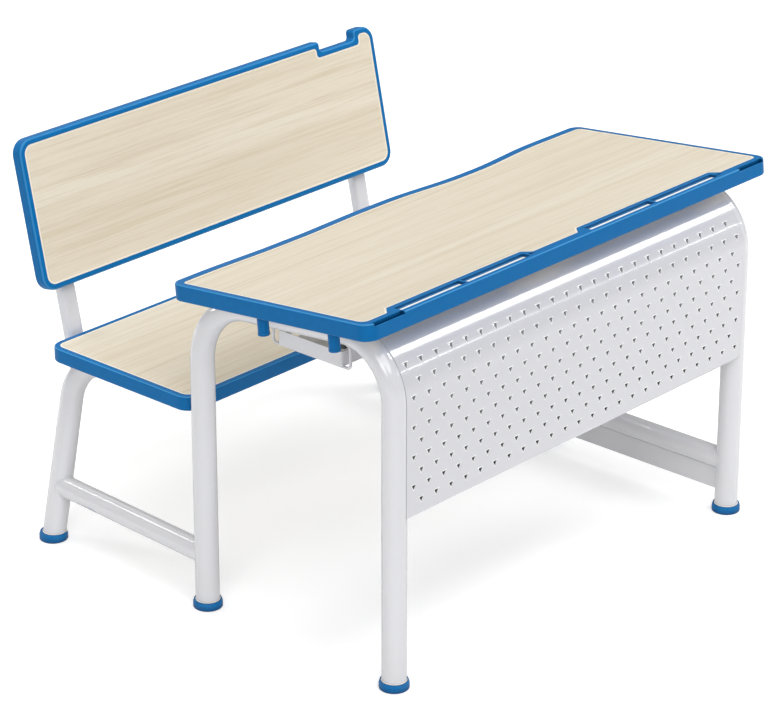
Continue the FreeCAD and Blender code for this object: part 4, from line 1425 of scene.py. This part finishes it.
@dataclass
class BookTray(SubAssembly):
    """The sheet tray with its wire cradles, rail and clips."""

    nodes = (
        "book_tray", "left_tray_cradle", "right_tray_cradle", "tray_rail",
        "left_tray_clips", "right_tray_clips",
    )


@dataclass
class Fixings(SubAssembly):
    """The screws under the boards and the bolts behind the backrest."""

    top: DeskTop
    bench: Bench
    nodes = ("top_screws", "seat_screws", "panel_screws", "tray_clip_screws", "backrest_bolts")

    def build(self, frame: dict, finishes: Finishes) -> None:
        """Turn the fasteners with their heads and recesses.

        Args:
            frame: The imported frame.
            finishes: The finishes of the desk.
        """
        for node in ("top_screws", "panel_screws", "tray_clip_screws"):
            Screw(node, -self.top.outward).build(frame, finishes)
        Screw("seat_screws", -UP).build(frame, finishes)
        Bolt("backrest_bolts", -self.bench.front).build(frame, finishes)


@dataclass
class Lamp:
    """One soft light."""

    name: str
    place: Triple
    width: float
    depth: float
    power: float
    target: Triple = (0.0, 0.0, 0.45)

    def build(self) -> bpy.types.Object:
        """Hang the light.

        Returns:
            The light's object.
        """
        data = bpy.data.lights.new(self.name, "AREA")
        data.shape = "RECTANGLE"
        data.size = self.width
        data.size_y = self.depth
        data.energy = self.power
        made = bpy.data.objects.new(self.name, data)
        made.location = self.place
        ahead = Vector(self.target) - Vector(self.place)
        made.rotation_euler = ahead.to_track_quat("-Z", "Y").to_euler()
        bpy.context.scene.collection.objects.link(made)
        return made


@dataclass
class Studio:
    """Floor, light and camera."""

    eye: Vector = field(default_factory=lambda: Vector((-4.6823, -4.2602, 3.0878)))
    yaw: float = math.radians(47.8008)
    pitch: float = math.radians(-23.1824)
    focal_pixels: float = 3378.3
    image_width: float = 771.0
    sensor: float = 36.0
    sight: float = 200.0
    floor_half: float = 30.0
    sky: str = "FFFFFF"
    sky_strength: float = 0.27
    backdrop: str = "F4F4F4"
    backdrop_strength: float = 1.0
    sun_place: Vector = field(default_factory=lambda: Vector((-0.35, -0.65, 1.0)))
    sun_strength: float = 1.42
    sun_spread: float = math.radians(55.0)
    near_leg: Triple = (-0.52, 0.0, 0.66)
    near_bar: Triple = (-0.52, 0.2, 0.2)
    far_side: Triple = (2.9, -0.5, 0.7)
    tone: str = "Standard"

    def build(self, finishes: Finishes) -> None:
        """Set up the whole studio.

        Args:
            finishes: The finishes of the desk.
        """
        bpy.context.scene.view_settings.view_transform = self.tone
        self.lay_floor(finishes)
        for lamp in self.lamps():
            lamp.build()
        self.hang_sun()
        self.brighten()
        self.aim()

    def lay_floor(self, finishes: Finishes) -> None:
        """Lay a wide pale floor.

        Args:
            finishes: The finishes of the desk.
        """
        half = self.floor_half
        corners = [(-half, -half, 0.0), (half, -half, 0.0), (half, half, 0.0), (-half, half, 0.0)]
        mesh = bpy.data.meshes.new("studio_floor")
        mesh.from_pydata(corners, [], [[0, 1, 2, 3]])
        mesh.materials.append(finishes.floor)
        floor = bpy.data.objects.new("studio_floor", mesh)
        bpy.context.scene.collection.objects.link(floor)

    def lamps(self) -> list[Lamp]:
        """Give the soft lights, with strips that show as long gleams on tubes and panel.

        Returns:
            The lamps, which still have to be hung.
        """
        return [
            Lamp("top_light", (0.0, 0.3, 4.6), width=2.2, depth=2.2, power=50.0),
            Lamp("key_light", (-4.1, -2.0, 2.4), width=1.8, depth=1.5, power=27.0),
            Lamp("rear_light", (1.0, 4.2, 2.6), width=3.0, depth=2.0, power=14.0),
            Lamp("rear_low", (-1.35, 3.2, 1.15), width=0.7, depth=0.7, power=9.0, target=self.near_leg),
            Lamp("rear_strip", (-0.72, 2.4, 2.8), width=0.14, depth=1.4, power=9.0, target=self.near_bar),
            Lamp("wide_strip", (2.9, -1.96, 3.03), width=2.0, depth=0.7, power=44.0, target=self.far_side),
            Lamp("thin_strip", (2.9, -3.1, 1.75), width=2.0, depth=0.1, power=4.0, target=self.far_side),
        ]

    def hang_sun(self) -> None:
        """Hang the broad light that gives the soft shadows."""
        sun = bpy.data.lights.new("sky_light", "SUN")
        sun.energy = self.sun_strength
        sun.angle = self.sun_spread
        made = bpy.data.objects.new("sky_light", sun)
        made.rotation_euler = (-self.sun_place).to_track_quat("-Z", "Y").to_euler()
        bpy.context.scene.collection.objects.link(made)

    def brighten(self) -> None:
        """Light the surroundings, with a pale backdrop for the camera."""
        world = bpy.data.worlds.new("studio_air")
        world.use_nodes = True
        back = world.node_tree.nodes["Background"]
        graph = Graph(world.node_tree)
        seen = graph.add("ShaderNodeLightPath").outputs["Is Camera Ray"]
        graph.feed(back.inputs["Color"], graph.blend(seen, linear(self.sky), linear(self.backdrop)))
        strengths = (self.sky_strength, self.backdrop_strength)
        graph.feed(back.inputs["Strength"], graph.spread(seen, GROWING, strengths))
        bpy.context.scene.world = world

    def aim(self) -> None:
        """Stand the camera where the desk was seen from."""
        data = bpy.data.cameras.new("camera")
        data.sensor_fit = "HORIZONTAL"
        data.sensor_width = self.sensor
        data.lens = self.focal_pixels / self.image_width * self.sensor
        data.clip_end = self.sight
        camera = bpy.data.objects.new("camera", data)
        level = math.cos(self.pitch)
        ahead = Vector((math.sin(self.yaw) * level, math.cos(self.yaw) * level, math.sin(self.pitch)))
        right = Vector((math.cos(self.yaw), -math.sin(self.yaw), 0.0))
        above = right.cross(ahead)
        turn = Matrix((right, above, -ahead)).transposed()
        camera.matrix_world = Matrix.Translation(self.eye) @ turn.to_4x4()
        bpy.context.scene.collection.objects.link(camera)
        bpy.context.scene.camera = camera


def main() -> None:
    """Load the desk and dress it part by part."""
    logging.basicConfig(level=logging.INFO, format="%(message)s")
    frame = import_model()
    top = DeskTop()
    bench = Bench()
    finishes = Finishes(bench.front)
    parts: Sequence[SubAssembly] = (top, bench, DeskFrame(), BookTray(), Fixings(top, bench))
    for part in parts:
        part.dress(frame, finishes)
        part.build(frame, finishes)
    Studio().build(finishes)


if __name__ == "__main__":
    main()
